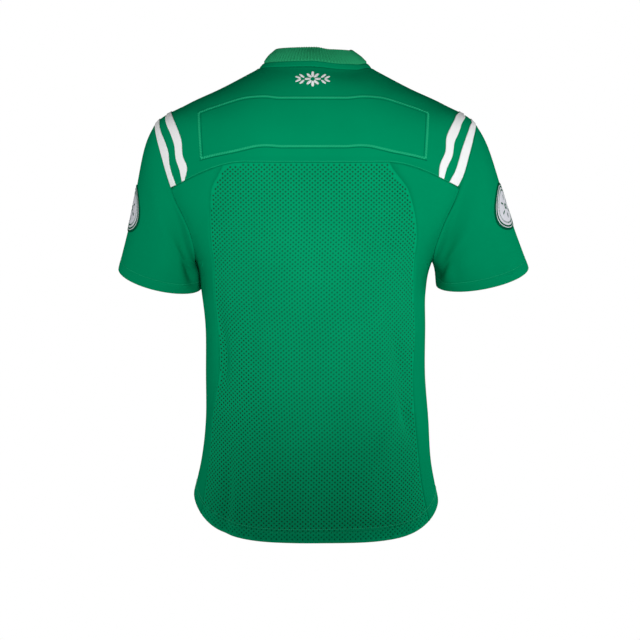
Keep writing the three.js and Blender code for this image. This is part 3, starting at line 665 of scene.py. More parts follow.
def level_per_mm(angle, level):
    """How many levels one millimetre down the body is there."""
    down = body_point(angle, level + STEP) - body_point(angle, level - STEP)
    return 2 * STEP / np.linalg.norm(down, axis=-1)


def angle_per_mm(angle, level):
    """How many radians one millimetre round the body is there."""
    along = body_point(angle + STEP, level) - body_point(angle - STEP, level)
    return 2 * STEP / np.linalg.norm(along, axis=-1)


edge = yoke_edge()
print(len(edge), "points round the yoke")

# %% The yoke
yoke_rows = shares(170, 40)
edge_angle, edge_level = edge[:, 0], edge[:, 1]
edge_end = edge_level - SEAM_GAP / 2 * level_per_mm(edge_angle, edge_level)
yoke_points, yoke_normals = body_spot(edge_angle[None, :], edge_end[None, :] * yoke_rows[:, None])
from_neck, from_edge = distance_to_ends(yoke_points, 0)
yoke_height = sewn(from_neck) + sewn(from_edge, 0.8)
yoke_points = yoke_points + yoke_normals * yoke_height[..., None]
yoke_across = np.degrees(edge_angle)[None, :] * 3.2 + 0 * from_neck
yoke_parts = [sewn_part(yoke_points, yoke_normals, np.stack([yoke_across, from_neck], axis=-1), ring=True)]
yoke = piece("yoke_cloth", yoke_parts, [SMOOTH_CLOTH], ["yoke"])

# %% [markdown]
# A hem is the cloth itself folded to the inside and sewn down. The folded grid repeats the rows
# nearest its edge in reverse, a little further in, after one row that rolls round the fold. That
# gives the edge its real thickness without a modifier.

# %% Turned hems
HEM_FOLD = np.array([0, 0.35, 0.9, 1.8, 3.2, 5, 7, 9, 11, 13, 14.6, 15.8, 17, 18.6, 20, 20.8, 21.8, 23.5, 26])
HEM_STITCHES = (15.8, 20.8)  # mm above the edge
HEM_GAP = 1.2
HEM_INSIDE = 22.5


def hem_form(distance):
    """A pillow of 0.5 mm below the stitches and a groove of 1.7 mm between their two rows."""
    groove = bell(distance - sum(HEM_STITCHES) / 2, 1.5)
    return 0.5 * smoothstep(distance, 0, 4) * (1 - smoothstep(distance, 13, 16)) - 1.7 * groove


def turned_up(points, normals, to_edge):
    """The inner fold of a hem: the rows within HEM_INSIDE of the last one, in reverse and HEM_GAP
    further in, after a row that rolls round the edge."""
    near = to_edge.mean(axis=1) <= HEM_INSIDE
    edge_row = points[-1:] - normals[-1:] * (HEM_GAP / 2)
    down = points[-1:] - points[-2:-1]
    down = down / np.linalg.norm(down, axis=-1, keepdims=True)
    roll = edge_row + down * (HEM_GAP / 2)
    inner = (points[near] - normals[near] * HEM_GAP)[::-1]
    inner_normals = np.concatenate([normals[-1:], -normals[-1:], -normals[near][::-1]])
    return np.concatenate([points[-1:], roll, inner]), inner_normals


print("hem folded", HEM_INSIDE, "mm up, sewn at", HEM_STITCHES)

# %% [markdown]
# The side panels are gathered round the armhole and run down to the hem. Their columns leave the
# armhole outwards and lie evenly from the level GATHER down, as the cloth of a cut gusset does.


# %% The side panels
def side_top(side):
    """The top edge from the back seam to the front one: seam, the armhole's lower half, seam."""
    corner = arm_spot(1, CORNER)[0]
    arc_from_side, _, arc_level = arm_spot(1, np.linspace(CORNER, 2 * np.pi - CORNER, 61))
    first, last = short_seam(seam_top(1, side), corner, 8), short_seam(-corner, seam_top(-1, side), 8)
    from_side = np.concatenate([first[0], arc_from_side[1:-1], last[0]])
    return from_side, np.concatenate([first[1], arc_level[1:-1], last[1]])


def side_spots(side, rows):
    """Ring angles and levels of the side panel: each column starts on the top edge, keeps its share
    of the way from the armhole to the seam, and turns evenly as its level nears GATHER."""
    from_side, top = side_top(side)
    last = len(from_side) - 1
    index = np.arange(last + 1)
    face = np.where(index <= last / 2, 1, -1)
    start = top + SEAM_GAP / 2 * level_per_mm(ring_angle(side, from_side), top)
    level = lerp(start[None, :], HEM, rows[:, None])

    def seam(at):
        return np.where(face > 0, np.abs(seam_angle(1, side, at)), np.abs(seam_angle(-1, side, at)))

    first_share = (np.abs(from_side) - arm_reach(top)) / (seam(top) - arm_reach(top))
    even_share = np.abs(1 - 2 * index / last)
    gathered = np.clip((level - top) / (GATHER - top), 0, 1)
    share = lerp(first_share, even_share, gathered)
    spot = face * lerp(arm_reach(level), seam(level), share)
    inset = np.where(index % last == 0, SEAM_GAP / 2, 0) * angle_per_mm(spot, level)
    return ring_angle(side, spot - face * inset), level


def side_panel(side):
    """The outer grid, dipped at its seams and formed at its hem, and the hem's inner fold."""
    length = 470.0
    rows = np.concatenate([shares(length, 74, True, False)[:-1], (1 - HEM_FOLD / length)[::-1]])
    rows = np.unique(np.round(rows, 5))
    points, normals = body_spot(*side_spots(side, rows))
    from_top, from_hem = distance_to_ends(points, 0)
    from_back, from_front = distance_to_ends(points, 1)
    height = sewn(from_top) + sewn(from_back) + sewn(from_front) + hem_form(from_hem)
    cloth = cloth_of(points)
    points = points + normals * height[..., None]
    inner, inner_normals = turned_up(points, normals, from_hem)
    return [sewn_part(points, normals, cloth, sides=True, end=False),
            grid_part(inner, inner_normals, cloth_of(inner))]


for word, side in (("left", 1), ("right", -1)):
    piece(f"side_cloth_{word}", side_panel(side), [SMOOTH_CLOTH],
                              [f"side_panel_{word}"])

# %% [markdown]
# The sleeves are ring-shaped grids from the armhole to a turned cuff, which one row of stitches
# holds. The same fold makes the cuff's edge.

# %% The sleeves' cloth
CUFF_STITCH = 17.0
CUFF_FOLD = np.array([0, 0.35, 0.9, 1.8, 3.2, 5, 7.5, 10, 12.5, 14.5, 16, 17, 18, 19.5, 22])


def sleeve(name):
    """The sleeve's outer grid with its seam and stitched groove, and the cuff's inner fold."""
    length = 190.0
    rows = np.concatenate([shares(length, 44, True, False)[:-1], (1 - CUFF_FOLD / length)[::-1]])
    rows = np.unique(np.round(rows, 5))
    turns = np.linspace(0, 2 * np.pi, 241)[:-1]
    points, normals = sleeve_spot(name, turns[None, :], rows[:, None])
    from_top, from_cuff = distance_to_ends(points, 0)
    groove = 0.3 * smoothstep(from_cuff, 0, 4) * (1 - smoothstep(from_cuff, 14, 17))
    height = sewn(from_top) + groove - 1.0 * bell(from_cuff - CUFF_STITCH + 1.6, 1.2)
    cloth = np.stack([np.degrees(turns)[None, :] * 1.35 + 0 * from_top, from_top], axis=-1)
    points = points + normals * height[..., None]
    inner, inner_normals = turned_up(points, normals, from_cuff)
    inner_cloth = np.stack([np.broadcast_to(np.degrees(turns) * 1.35, inner.shape[:2]),
                            run_lengths(inner, 0)], axis=-1)
    return [sewn_part(points, normals, cloth, True, end=False),
            grid_part(inner, inner_normals, inner_cloth, True)]


for word in CUFFS:
    piece(f"sleeve_cloth_{word}", sleeve(word), [SMOOTH_CLOTH],
                                [f"sleeve_{word}"])

# %% [markdown]
# The back and front are an open mesh: small holes in columns, each column half a step lower than
# the one beside it. The rows of real cloth run level whatever the shape of the hem, so the holes
# are laid out in cloth coordinates, the length round the body from the centre and the height, and
# a table leads from those to the body's angle and level.

# %% Cloth coordinates of a panel
TABLE_TOP, TABLE_STEP = -130.0, 3.0
TABLE_REACH, TABLE_CELL = 236.0, 2.0


def read_table(table, row, cell):
    """The table read between its entries, in proportion to the distance from the four around."""
    row = np.clip(row, 0, table.shape[0] - 1.001)
    cell = np.clip(cell, 0, table.shape[1] - 1.001)
    i, j = row.astype(int), cell.astype(int)
    s, t = row - i, cell - j
    upper = lerp(table[i, j], table[i + 1, j], s)
    lower = lerp(table[i, j + 1], table[i + 1, j + 1], s)
    return lerp(upper, lower, t)


class Cloth:
    """Both ways between a panel's cloth coordinates and the body's angle and level."""

    def __init__(self, face):
        self.low, self.high = np.radians(14), np.radians(166)
        self.face = face
        angles = np.linspace(self.low, self.high, 305)
        levels = np.linspace(3.5, HEM, 380)
        heights = np.arange(TABLE_TOP, -766, -TABLE_STEP)
        depths = -body_point(face * angles[:, None], levels[None, :])[..., 2]
        level_at = np.array([np.interp(-heights, depth, levels) for depth in depths])
        points = body_point(face * angles[:, None], level_at)
        along = run_lengths(points, 0)
        self.across = along[len(angles) // 2] - along
        cells = np.arange(-TABLE_REACH, TABLE_REACH + 1, TABLE_CELL)
        by_row = list(zip(self.across.T, level_at.T))
        self.angle = np.array([np.interp(-cells, -across, angles) for across, _ in by_row])
        self.level = np.array([np.interp(-cells, -across, level) for across, level in by_row])

    def to_body(self, across, height):
        """Cloth coordinates to angle and level."""
        row, cell = (TABLE_TOP - height) / TABLE_STEP, (across + TABLE_REACH) / TABLE_CELL
        return self.face * read_table(self.angle, row, cell), read_table(self.level, row, cell)

    def from_body(self, angle, level):
        """Angle and level to cloth coordinates."""
        height = body_point(angle, level)[..., 2]
        turn = (self.face * angle - self.low) / (self.high - self.low) * (len(self.across) - 1)
        return read_table(self.across, turn, (TABLE_TOP - height) / TABLE_STEP), height


cloths = {face: Cloth(face) for face in (1, -1)}
print("centre back at -400 mm is", np.round(cloths[1].to_body(np.array([0.0]), np.array([-400.0])), 3))

# %% [markdown]
# One cell of the mesh is a rectangle with a hole in it. Its upright sides have a point at half
# height, where the next column's cells meet, so a cell has six outer points and eight round the
# hole, joined by fourteen triangles. The cells are repeated by adding numbers to their indices.

# %% One cell of the mesh
HOLE_COLUMN = 4.2
HOLE_PITCH = 6.9
HOLE_HALF = (1.2, 1.45)
HOLE_ANGLES = np.radians(22.5 + 45 * np.arange(8))
LIP = 0.45  # how far the cloth turns in at a hole, and how deep the hole's shade lies
WALE = 0.25  # how far the cloth stands out between the columns of holes
LATTICE_TOP = -137.9
CELL = np.array([  # outer points 0 to 5 from the lower left, hole points 6 to 13
    (2, 6, 13), (2, 3, 6), (3, 7, 6), (3, 4, 8), (3, 8, 7), (4, 9, 8), (4, 5, 9), (5, 10, 9),
    (5, 0, 10), (0, 11, 10), (0, 1, 12), (0, 12, 11), (1, 13, 12), (1, 2, 13),
])
CELL_CORNERS = ((0, -1), (1, -1), (1, 0), (1, 1), (0, 1), (0, 0))  # line and half row of each outer point


def inside(points, loop):
    """True where a line to the right from the point crosses the loop an odd number of times."""
    x, y = points[:, None, 0], points[:, None, 1]
    x0, y0 = loop[None, :, 0], loop[None, :, 1]
    x1, y1 = np.roll(x0, -1, axis=1), np.roll(y0, -1, axis=1)
    spans = (y0 > y) != (y1 > y)
    with np.errstate(divide="ignore", invalid="ignore"):
        crossing = x0 + (y - y0) * (x1 - x0) / (y1 - y0)
    return (spans & (crossing > x)).sum(axis=1) % 2 == 1


def distance_to(points, line, closed=True):
    """The shortest distance from each point to a line of straight stretches."""
    start = line[None, :] if closed else line[None, :-1]
    end = np.roll(line, -1, axis=0)[None, :] if closed else line[None, 1:]
    along = end - start
    share = np.einsum("ijk,ijk->ij", points[:, None] - start, along) / (along ** 2).sum(axis=-1)
    nearest = start + along * np.clip(share, 0, 1)[..., None]
    return np.sqrt(((points[:, None] - nearest) ** 2).sum(axis=-1).min(axis=1))


print("a hole each", HOLE_COLUMN * HOLE_PITCH / 100, "square cm")

# %% [markdown]
# The lattice covers more than the panel, and only the cells that lie wholly inside the seams stay.
# The narrow strip between them and the seams is plain cloth: a Delaunay triangulation joins the
# outline of the cells to the outline of the panel.

# %% The outline of a panel
OUTLINE_STEP = 3.0


def panel_outline(face):
    """The four edges of a panel as lists of angle and level: top, right, hem, left."""
    across, down = np.linspace(0, 1, 131), np.linspace(0, 1, 196)
    top_angle, top_level = panel_top(face, across)
    top_level = top_level + SEAM_GAP / 2 * level_per_mm(top_angle, top_level)
    edges = [np.stack([top_angle, top_level], axis=-1)]
    for share in (1.0, 0.0):
        start = top_level[-1] if share else top_level[0]
        level = lerp(start, HEM, down)
        angle = panel_angle(face, share, level)
        inset = (1 - 2 * share) * face * SEAM_GAP / 2 * angle_per_mm(angle, level)
        edges.append(np.stack([angle + inset, level], axis=-1))
    hem_level = np.full_like(across, float(HEM))
    hem = np.stack([lerp(edges[2][-1, 0], edges[1][-1, 0], across), hem_level], axis=-1)
    return edges[0], edges[1], hem[::-1], edges[2][::-1]


def lattice(outline):
    """The kept cells: the column and half row of each, on a grid that covers the outline."""
    lines = np.arange(-54, 55)
    halves = np.arange(0, 185)
    across = (lines - 0.5) * HOLE_COLUMN
    grid = np.stack(np.meshgrid(across, LATTICE_TOP - halves * HOLE_PITCH / 2, indexing="ij"), -1)
    flat = grid.reshape(-1, 2)
    good = inside(flat, outline)
    good[good] = distance_to(flat[good], outline) > 0.5
    good = good.reshape(grid.shape[:2])
    line, half = np.meshgrid(np.arange(len(lines) - 1), np.arange(1, len(halves) - 1), indexing="ij")
    kept = (line + half) % 2 == 0
    for across, down in CELL_CORNERS:
        kept &= good[line + across, half - down]
    return grid, line[kept], half[kept]


print("outline of the back:", [len(edge) for edge in panel_outline(1)], "points")


# %% Lay out the cells and the strip beside the seams
def cell_faces(shape, line, half):
    """Each cell's triangles: outer points are numbers on the grid, hole points follow the grid."""
    outer = np.stack([(line + across) * shape[1] + half - down for across, down in CELL_CORNERS], axis=1)
    hole = shape[0] * shape[1] + 8 * np.arange(len(line))[:, None] + np.arange(8)
    return outer, np.concatenate([outer, hole], axis=1)[:, CELL].reshape(-1, 3)


def border_edges(outer):
    """The cell sides that only one cell has, as pairs of grid numbers."""
    pairs = np.stack([outer, np.roll(outer, -1, axis=1)], axis=-1).reshape(-1, 2)
    key, index, count = np.unique(np.sort(pairs, axis=1), axis=0, return_index=True, return_counts=True)
    return pairs[index[count == 1]]


def seam_strip(flat, outer, outline, kept):
    """Triangles between the cells' border and the outline, as numbers into the grid's points
    followed by the outline's."""
    edges = border_edges(outer)
    used = np.unique(edges)
    points = np.concatenate([flat[used], outline])
    inner = np.searchsorted(used, edges)
    around = len(used) + np.stack([np.arange(len(outline)), np.roll(np.arange(len(outline)), -1)], axis=-1)
    found = delaunay_2d_cdt([tuple(p) for p in points], np.concatenate([inner, around]).tolist(), [], 0, 1e-5)
    source = np.array([ids[0] for ids in found[3]])
    triangles = source[np.array(found[2])]
    middle = points[triangles].mean(axis=1)
    keep = inside(middle, outline) & ~kept(middle)
    numbers = np.concatenate([used, len(flat) + np.arange(len(outline))])
    return numbers[triangles[keep]]


def in_kept_cell(shape, line, half):
    """A test that says whether points in cloth coordinates lie in a kept cell."""
    table = np.zeros((shape[0] + 1, shape[1] + 2), bool)
    table[line, half] = True

    def test(points):
        column_number = np.floor(points[:, 0] / HOLE_COLUMN + 0.5).astype(int) + 54
        rows = (LATTICE_TOP - points[:, 1]) / (HOLE_PITCH / 2)
        nearest = 2 * np.round((rows - column_number % 2) / 2).astype(int) + column_number % 2
        return table[np.clip(column_number, 0, shape[0]), np.clip(nearest, 0, shape[1])]

    return test


print("a cell has", len(CELL), "triangles")


# %% Make a mesh panel
def mesh_panel(face):
    """Cells, strip and hem of one panel as parts, with dark sheets of painted shade as the bottoms of
    its holes. Heights: the seams dip, the hem is formed, and the points round each hole turn in by
    LIP."""
    cloth = cloths[face]
    edges = panel_outline(face)
    body_loop = np.concatenate([edge[:-1] for edge in edges])
    outline = np.stack(cloth.from_body(body_loop[:, 0], body_loop[:, 1]), axis=-1)
    grid, line, half = lattice(outline)
    shape, flat = grid.shape[:2], grid.reshape(-1, 2)
    outer, faces = cell_faces(shape, line, half)
    middle = np.stack([(grid[line, half, 0] + grid[line + 1, half, 0]) / 2, grid[line, half, 1]], axis=-1)
    ring = np.stack([HOLE_HALF[0] * np.cos(HOLE_ANGLES), HOLE_HALF[1] * np.sin(HOLE_ANGLES)], axis=-1)
    holes = (middle[:, None] + ring).reshape(-1, 2)
    strip = seam_strip(flat, outer, outline, in_kept_cell(shape, line, half))
    strip = np.where(strip >= len(flat), strip + len(holes), strip)
    places = np.concatenate([flat, holes, outline])
    angle, level = cloth.to_body(places[:, 0], places[:, 1])
    angle[-len(outline):], level[-len(outline):] = body_loop.T
    lip = np.zeros(len(places))
    lip[:len(flat)] = -WALE
    lip[len(flat):len(flat) + len(holes)] = LIP
    faces = np.concatenate([faces, strip])
    used, numbers = np.unique(faces, return_inverse=True)
    faces, places, lip = numbers.reshape(-1, 3), places[used], lip[used]
    points, normals = body_spot(angle[used], level[used])
    hem_start = len(edges[0]) + len(edges[1]) - 2
    hem_end = hem_start + len(edges[2]) - 1
    seam_numbers = np.concatenate([np.arange(hem_end, len(outline)), np.arange(hem_start + 1)])
    seam_line, hem_line = outline[seam_numbers], outline[hem_start:hem_end + 1]
    to_seam, to_hem = distance_to(places, seam_line, False), distance_to(places, hem_line, False)
    height = sewn(to_seam) + hem_form(to_hem) - lip
    points = points + normals * height[:, None]
    main = part(points, facing(points, faces, normals), places)
    # The holes' bottoms are sheets of painted shade, with a lighter one near the hem.
    floor_numbers = np.searchsorted(used, len(flat) + np.arange(len(holes))).reshape(-1, 8)
    near_hem = distance_to(middle, hem_line, False) < HEM_STITCHES[1]
    floors = [shade_part(points, normals, places, floor_numbers[near_hem == low], 1 + low) for low in (0, 1)]
    edge_height = hem_form(distance_to(seam_line, hem_line, False)) - SEAM_DIP
    tucks = [seam_tuck(body_loop[seam_numbers], edge_height), hem_fold(edges[2], outline[:, 0].min())]
    return [main, *floors, *tucks], len(line)


def shade_part(points, normals, places, numbers, paint):
    """The eight-sided bottoms of some holes, with points of their own: sheets of painted shade."""
    own = numbers.ravel()
    faces = facing(points[own], np.arange(len(own)).reshape(-1, 8), normals[own])
    return part(points[own], faces, places[own], paint)


def seam_tuck(seam, height):
    """The panel's allowance along its seams: from the height of its edge to ALLOWANCE further in."""
    points, normals = body_spot(*seam.T)
    points = points + normals * height[:, None]
    rows = np.stack([points, points - normals * ALLOWANCE])
    return grid_part(rows, np.stack([normals, normals]), cloth_of(rows))


def hem_fold(hem, start):
    """The hem's inner fold along a line of angles at the lowest level."""
    angle = hem[:, 0][None, :]
    level = HEM - HEM_FOLD[::-1][:, None] * level_per_mm(angle, HEM - 0.02)
    points, normals = body_spot(angle + 0 * level, level)
    _, from_hem = distance_to_ends(points, 0)
    points = points + normals * hem_form(from_hem)[..., None]
    inner, inner_normals = turned_up(points, normals, from_hem)
    return grid_part(inner, inner_normals, cloth_of(inner) + np.array([start, 0]))


for face, word in ((1, "back"), (-1, "front")):
    parts, count = mesh_panel(face)
    piece(f"{word}_mesh_cloth", parts, [MESH_CLOTH, HOLE_SHADE, HEM_SHADE],
                         [f"{word}_panel"])
    print(word, "has", count, "holes")

# %% [markdown]
# The collar is a smooth band on the neck seam with a ribbed knit above it. Each rib is a rounded
# cord of stitches, so the outside of the rib is a cosine wave round the neck, which fades out
# where the knit folds over at the top edge. The inside of the fold is plain.

# %% The collar's surface
RIB_COUNT = 114
RIB_HALF = 1.5  # half the height of a rib
RIB_CLOTH = 2.2
BAND_TOP, COLLAR_TOP = 1.0, 3.0


def collar_point(angle, level):
    """A point of the collar's rings."""
    return ring_point(COLLAR, angle, level)


def collar_spot(angle, level):
    """A collar point and its outward normal; the collar's levels rise, so the sign is positive."""
    angle, level = np.broadcast_arrays(np.asarray(angle, float), np.asarray(level, float))
    inner = np.clip(level, 2 * STEP, COLLAR_TOP - 2 * STEP)
    return collar_point(angle, level), normal_of(collar_point, angle, inner, 1)


def even_angles(level, count):
    """Angles that cut a ring into count even lengths, from the centre front."""
    samples = np.linspace(-np.pi / 2, 1.5 * np.pi, 1441)
    runs = run_lengths(collar_point(samples, level)[None], 1)[0]
    return np.interp(runs[-1] * np.arange(count) / count, runs, samples)


neck = run_lengths(collar_point(np.linspace(0, 2 * np.pi, 700), 0)[None], 1)[0, -1]
print("the neck is", round(float(neck)), "mm round")

# %% The band and the rib
band_angles = even_angles(0, 480)
band_levels = shares(16, 4) * BAND_TOP
band_levels = np.unique(np.round(np.clip(band_levels, 0.01, 0.99), 4))
band_points, band_normals = collar_spot(band_angles[None, :], band_levels[:, None])
band_to_neck, band_to_rib = distance_to_ends(band_points, 0)
band_points = band_points + band_normals * (0.5 - SEAM_DIP * bell(band_to_neck, 1.1)
                                            - SEAM_DIP * bell(band_to_rib, 1.1))[..., None]
band = piece("collar_band_cloth", [sewn_part(band_points, band_normals, cloth_of(band_points), True)],
             [SMOOTH_CLOTH], ["collar_band"])

rib_angles = even_angles(2, RIB_COUNT * 8)
rib_wave = np.cos(2 * np.pi * np.arange(RIB_COUNT * 8) / 8)
rib_levels = BAND_TOP + (COLLAR_TOP - BAND_TOP) * np.linspace(0.005, 1, 24)
rib_points, rib_normals = collar_spot(rib_angles[None, :], rib_levels[:, None])
to_band, to_fold = distance_to_ends(rib_points, 0)
ribbed = RIB_HALF * rib_wave[None, :] * smoothstep(to_band, 0.5, 3) * smoothstep(to_fold, -1.5, 2.5)
rib_outer = rib_points + rib_normals * (ribbed - SEAM_DIP * bell(to_band, 1.2))[..., None]
fold_turn = np.linspace(0, np.pi, 7)[1:-1]
fold_up = rib_points[-1] - rib_points[-2]
fold_up /= np.linalg.norm(fold_up, axis=-1, keepdims=True)
fold_rows = (rib_points[-1] + rib_normals[-1] * (RIB_CLOTH / 2 * (np.cos(fold_turn) - 1))[:, None, None]
             + fold_up * (RIB_CLOTH / 2 * np.sin(fold_turn))[:, None, None]
             + rib_normals[-1] * (ribbed[-1] * np.cos(fold_turn / 2)[:, None])[..., None])
fold_normals = rib_normals[-1] * np.cos(fold_turn)[:, None, None] + fold_up * np.sin(fold_turn)[:, None, None]
rib_inner = (rib_points - rib_normals * RIB_CLOTH)[::-1]
rib_grid = np.concatenate([rib_outer, fold_rows, rib_inner])
rib_out = np.concatenate([rib_normals, fold_normals, -rib_normals[::-1]])
rib = piece("collar_rib_knit", [grid_part(rib_grid, rib_out, cloth_of(rib_grid), True)],
            [RIB_KNIT], ["collar_rib"])

# %% [markdown]
# What lies on the cloth is a sheet of its own: its top is the cloth's surface moved out by the
# sheet's thickness, and its rim turns down to the cloth in a quarter circle.

# %% Applied sheets
APPLIED_TOP = 1.2
RIM = np.array([0, 0.08, 0.25, 0.55, 0.9])  # distances in mm of the rows along the rim


def rim_height(distance):
    """A quarter circle from below the cloth up to APPLIED_TOP over 0.9 mm."""
    share = np.clip(1 - distance / RIM[-1], 0, 1)
    return -0.4 + (APPLIED_TOP + 0.4) * np.sqrt(1 - share ** 2)


def rim_shares(length, count):
    """Shares of a length: the rim's rows at both ends and count even steps between them."""
    rim = RIM / length
    return np.concatenate([rim, np.linspace(rim[-1], 1 - rim[-1], count + 1)[1:-1], 1 - rim[::-1]])


def applied(points, normals, cloth):
    """A grid of points raised by the rim's height at its distance from the nearest edge."""
    nearest = np.minimum.reduce([*distance_to_ends(points, 0), *distance_to_ends(points, 1)])
    return grid_part(points + normals * rim_height(nearest)[..., None], normals, cloth)


def back_spot(x, z):
    """The angle and level of the back's point at x and z, by Newton's method on both at once."""
    angle = np.arccos(np.clip(x / 320, -1, 1))
    level = np.full_like(angle, 3.0)
    for _ in range(30):
        points = body_point(angle, level)
        a = (body_point(angle + STEP, level) - points) / STEP
        b = (body_point(angle, level + STEP) - points) / STEP
        det = a[..., 0] * b[..., 2] - b[..., 0] * a[..., 2]
        dx, dz = x - points[..., 0], z - points[..., 2]
        angle = angle + (dx * b[..., 2] - b[..., 0] * dz) / det
        level = level + (a[..., 0] * dz - dx * a[..., 2]) / det
    return angle, level


print("top of the rim", rim_height(np.array([0.9]))[0], "mm over the cloth")

# %% The nameplate
PLATE = dict(middle=3, top_half=184, bottom_half=179, top_z=-48, bottom_z=-128)
PLATE_DROPS = dict(  # mm that the edges lie lower at tenths of the way from the middle to an end
    top=np.array([0, 0, 0, 0, -2.0, -1.6, 0.6, 5.8, 11.8, 18.0, 25.0]),
    bottom=np.array([0, 0, 0, 0, -1.4, -0.2, 3.8, 8.0, 11.5, 15.4, 20.0]))


def plate_place(share, down):
    """x and z of the nameplate's point: share from -1 to 1 across, down from 0 to 1. Its edges are
    level in the middle and follow PLATE_DROPS towards the ends."""
    tenths = np.abs(share) * 10
    drop = lerp(column(PLATE_DROPS, "top", tenths), column(PLATE_DROPS, "bottom", tenths), down)
    x = PLATE["middle"] + share * lerp(PLATE["top_half"], PLATE["bottom_half"], down)
    return x, lerp(PLATE["top_z"], PLATE["bottom_z"], down) - drop


plate_share, plate_down = np.meshgrid(rim_shares(366, 150) * 2 - 1, rim_shares(86, 36))
plate_points, plate_normals = body_spot(*back_spot(*plate_place(plate_share, plate_down)))
plate = piece("nameplate_cloth", [applied(plate_points, plate_normals, cloth_of(plate_points))],
              [SMOOTH_CLOTH], ["nameplate"])

# %% [markdown]
# Thread is made of real stitches, because a stitched line catches the light at each of them. A
# stitch is a small grain with eight sides, and one call places hundreds of them along a line by
# stretching the grain along each stitch's own direction.

# %% Stitches
GRAIN = np.array([(-1, 0, 0), (-0.6, 0.8, 0), (-0.6, 0, 1), (-0.6, -0.8, 0), (0.6, 0.8, 0),
                  (0.6, 0, 1), (0.6, -0.8, 0), (1, 0, 0)]) * 0.5
GRAIN_FACES = np.array([(0, 2, 1), (0, 3, 2), (1, 2, 5), (1, 5, 4), (2, 3, 6), (2, 6, 5), (4, 5, 7),
                        (5, 6, 7)])


def unit(vectors):
    """Each vector divided by its length."""
    return vectors / np.linalg.norm(vectors, axis=-1, keepdims=True)


def grains(centres, directions, normals, length, width, height, paint=0):
    """A grain at each centre: x along the direction, y across it on the cloth, z along the normal."""
    along = unit(directions - normals * (directions * normals).sum(axis=-1, keepdims=True))
    across = np.cross(normals, along)
    offsets = (along[:, None] * (GRAIN[:, 0, None] * np.reshape(length, (-1, 1, 1)))
               + across[:, None] * GRAIN[:, 1, None] * width
               + normals[:, None] * GRAIN[:, 2, None] * height * 2)
    points = centres[:, None] + offsets
    faces = (GRAIN_FACES[None] + len(GRAIN) * np.arange(len(centres))[:, None, None]).reshape(-1, 3)
    cloth = np.tile(np.stack([GRAIN[:, 1] * width, GRAIN[:, 0] * 3.0], axis=-1), (len(centres), 1))
    return part(points, faces, cloth, paint)


def resampled(points, normals, pitch, closed=False):
    """Even steps of about pitch mm along a line: centres, directions and normals."""
    if closed:
        points, normals = (np.concatenate([a, a[:1]]) for a in (points, normals))
    runs = run_lengths(points[None], 1)[0]
    count = max(int(round(runs[-1] / pitch)), 1)
    at = (np.arange(count) + 0.5) * runs[-1] / count

    def read(values, where):
        return np.stack([np.interp(where, runs, values[:, k]) for k in range(3)], axis=-1)

    centres = read(points, at)
    return centres, read(points, at + 0.2) - read(points, at - 0.2), unit(read(normals, at))


def running_stitch(points, normals, pitch=3.0, length=2.5, width=0.7, height=0.45, paint=0):
    """A row of stitches end to end along a line."""
    centres, directions, outward = resampled(points, normals, pitch)
    return grains(centres, directions, outward, length, width, height, paint)


def satin(points, normals, reach, pitch=1.15, lean=30.0, width=1.15, height=0.55, closed=False, paint=0):
    """Long stitches side by side across a line, each reach mm long and leaning by lean degrees."""
    centres, directions, outward = resampled(points, normals, pitch, closed)
    along = unit(directions)
    across = np.cross(outward, along)
    slanted = across * np.cos(np.radians(lean)) + along * np.sin(np.radians(lean))
    return grains(centres, slanted, outward, reach, width, height, paint)


print("a stitch has", len(GRAIN_FACES), "faces")

# %% Stitches of the nameplate, the yoke seam, the hem and the cuffs
PLATE_STITCH = 5.6


def plate_lines(inwards, height):
    """The four lines of points and normals that lie inwards mm inside the nameplate's edges."""
    share, down = 2 * inwards / 366, inwards / 86
    across, drop = np.linspace(share - 1, 1 - share, 260), np.linspace(down, 1 - down, 60)
    places = [(across, 0 * across + down), (across[::-1], 0 * across + 1 - down),
              (0 * drop + across[-1], drop), (0 * drop + across[0], drop[::-1])]
    spots = [body_spot(*back_spot(*plate_place(*place))) for place in places]
    return [(points + normals * height, normals) for points, normals in spots]


plate_satin = [satin(*line, PLATE_STITCH, 4.2, 46.0, 2.5, 1.0) for line in plate_lines(2.6, APPLIED_TOP)]
below = [*plate_lines(6.0, APPLIED_TOP), *plate_lines(-0.7, 0)]
# Dark running stitches inside the border's top and sides and outside the plate's bottom edge are painted
# shadow lines, where shade falls below the raised border and plate.
painted_shadow_stitches = [running_stitch(*below[at], 2.3, 2.2, 1.1, 0.2, paint=1) for at in (0, 2, 3, 5)]
plate_thread = piece("nameplate_stitches", plate_satin + painted_shadow_stitches, [GREEN_THREAD, DARK_THREAD_AND_PAINTED_SHADOW])


def body_line(angle, level, height=0.0):
    """A line on the body at a height over it."""
    points, normals = body_spot(angle, level)
    return points + normals * height, normals


YOKE_STITCH = 1.7
seam_lines = []
for face in (1, -1):
    share = np.linspace(0, 1, 300)
    angle, level = panel_top(face, share)
    reach = YOKE_STITCH * level_per_mm(angle, level)
    seam_lines.append(running_stitch(*body_line(angle, level - reach, 0.45)))
for side in (1, -1):
    corner = arm_spot(1, CORNER)[0]
    for face in (1, -1):
        from_side = np.linspace(face * corner, seam_top(face, side), 30)
        angle, level = ring_angle(side, from_side), yoke_seam(from_side)
        reach = YOKE_STITCH * level_per_mm(angle, level)
        seam_lines.append(running_stitch(*body_line(angle, level - reach, 0.45)))
yoke_thread = piece("yoke_seam_stitches", seam_lines, [GREEN_THREAD])

hem_angles = np.linspace(0, 2 * np.pi, 900)
hem_lines = []
for row, height, width in zip(HEM_STITCHES, (-0.2, 0.1), (0.9, 1.6)):
    level = HEM - row * level_per_mm(hem_angles, HEM - 0.02 + 0 * hem_angles)
    hem_lines.append(running_stitch(*body_line(hem_angles, level, height), width=width, height=0.7))
hem_thread = piece("hem_stitches", hem_lines, [GREEN_THREAD])

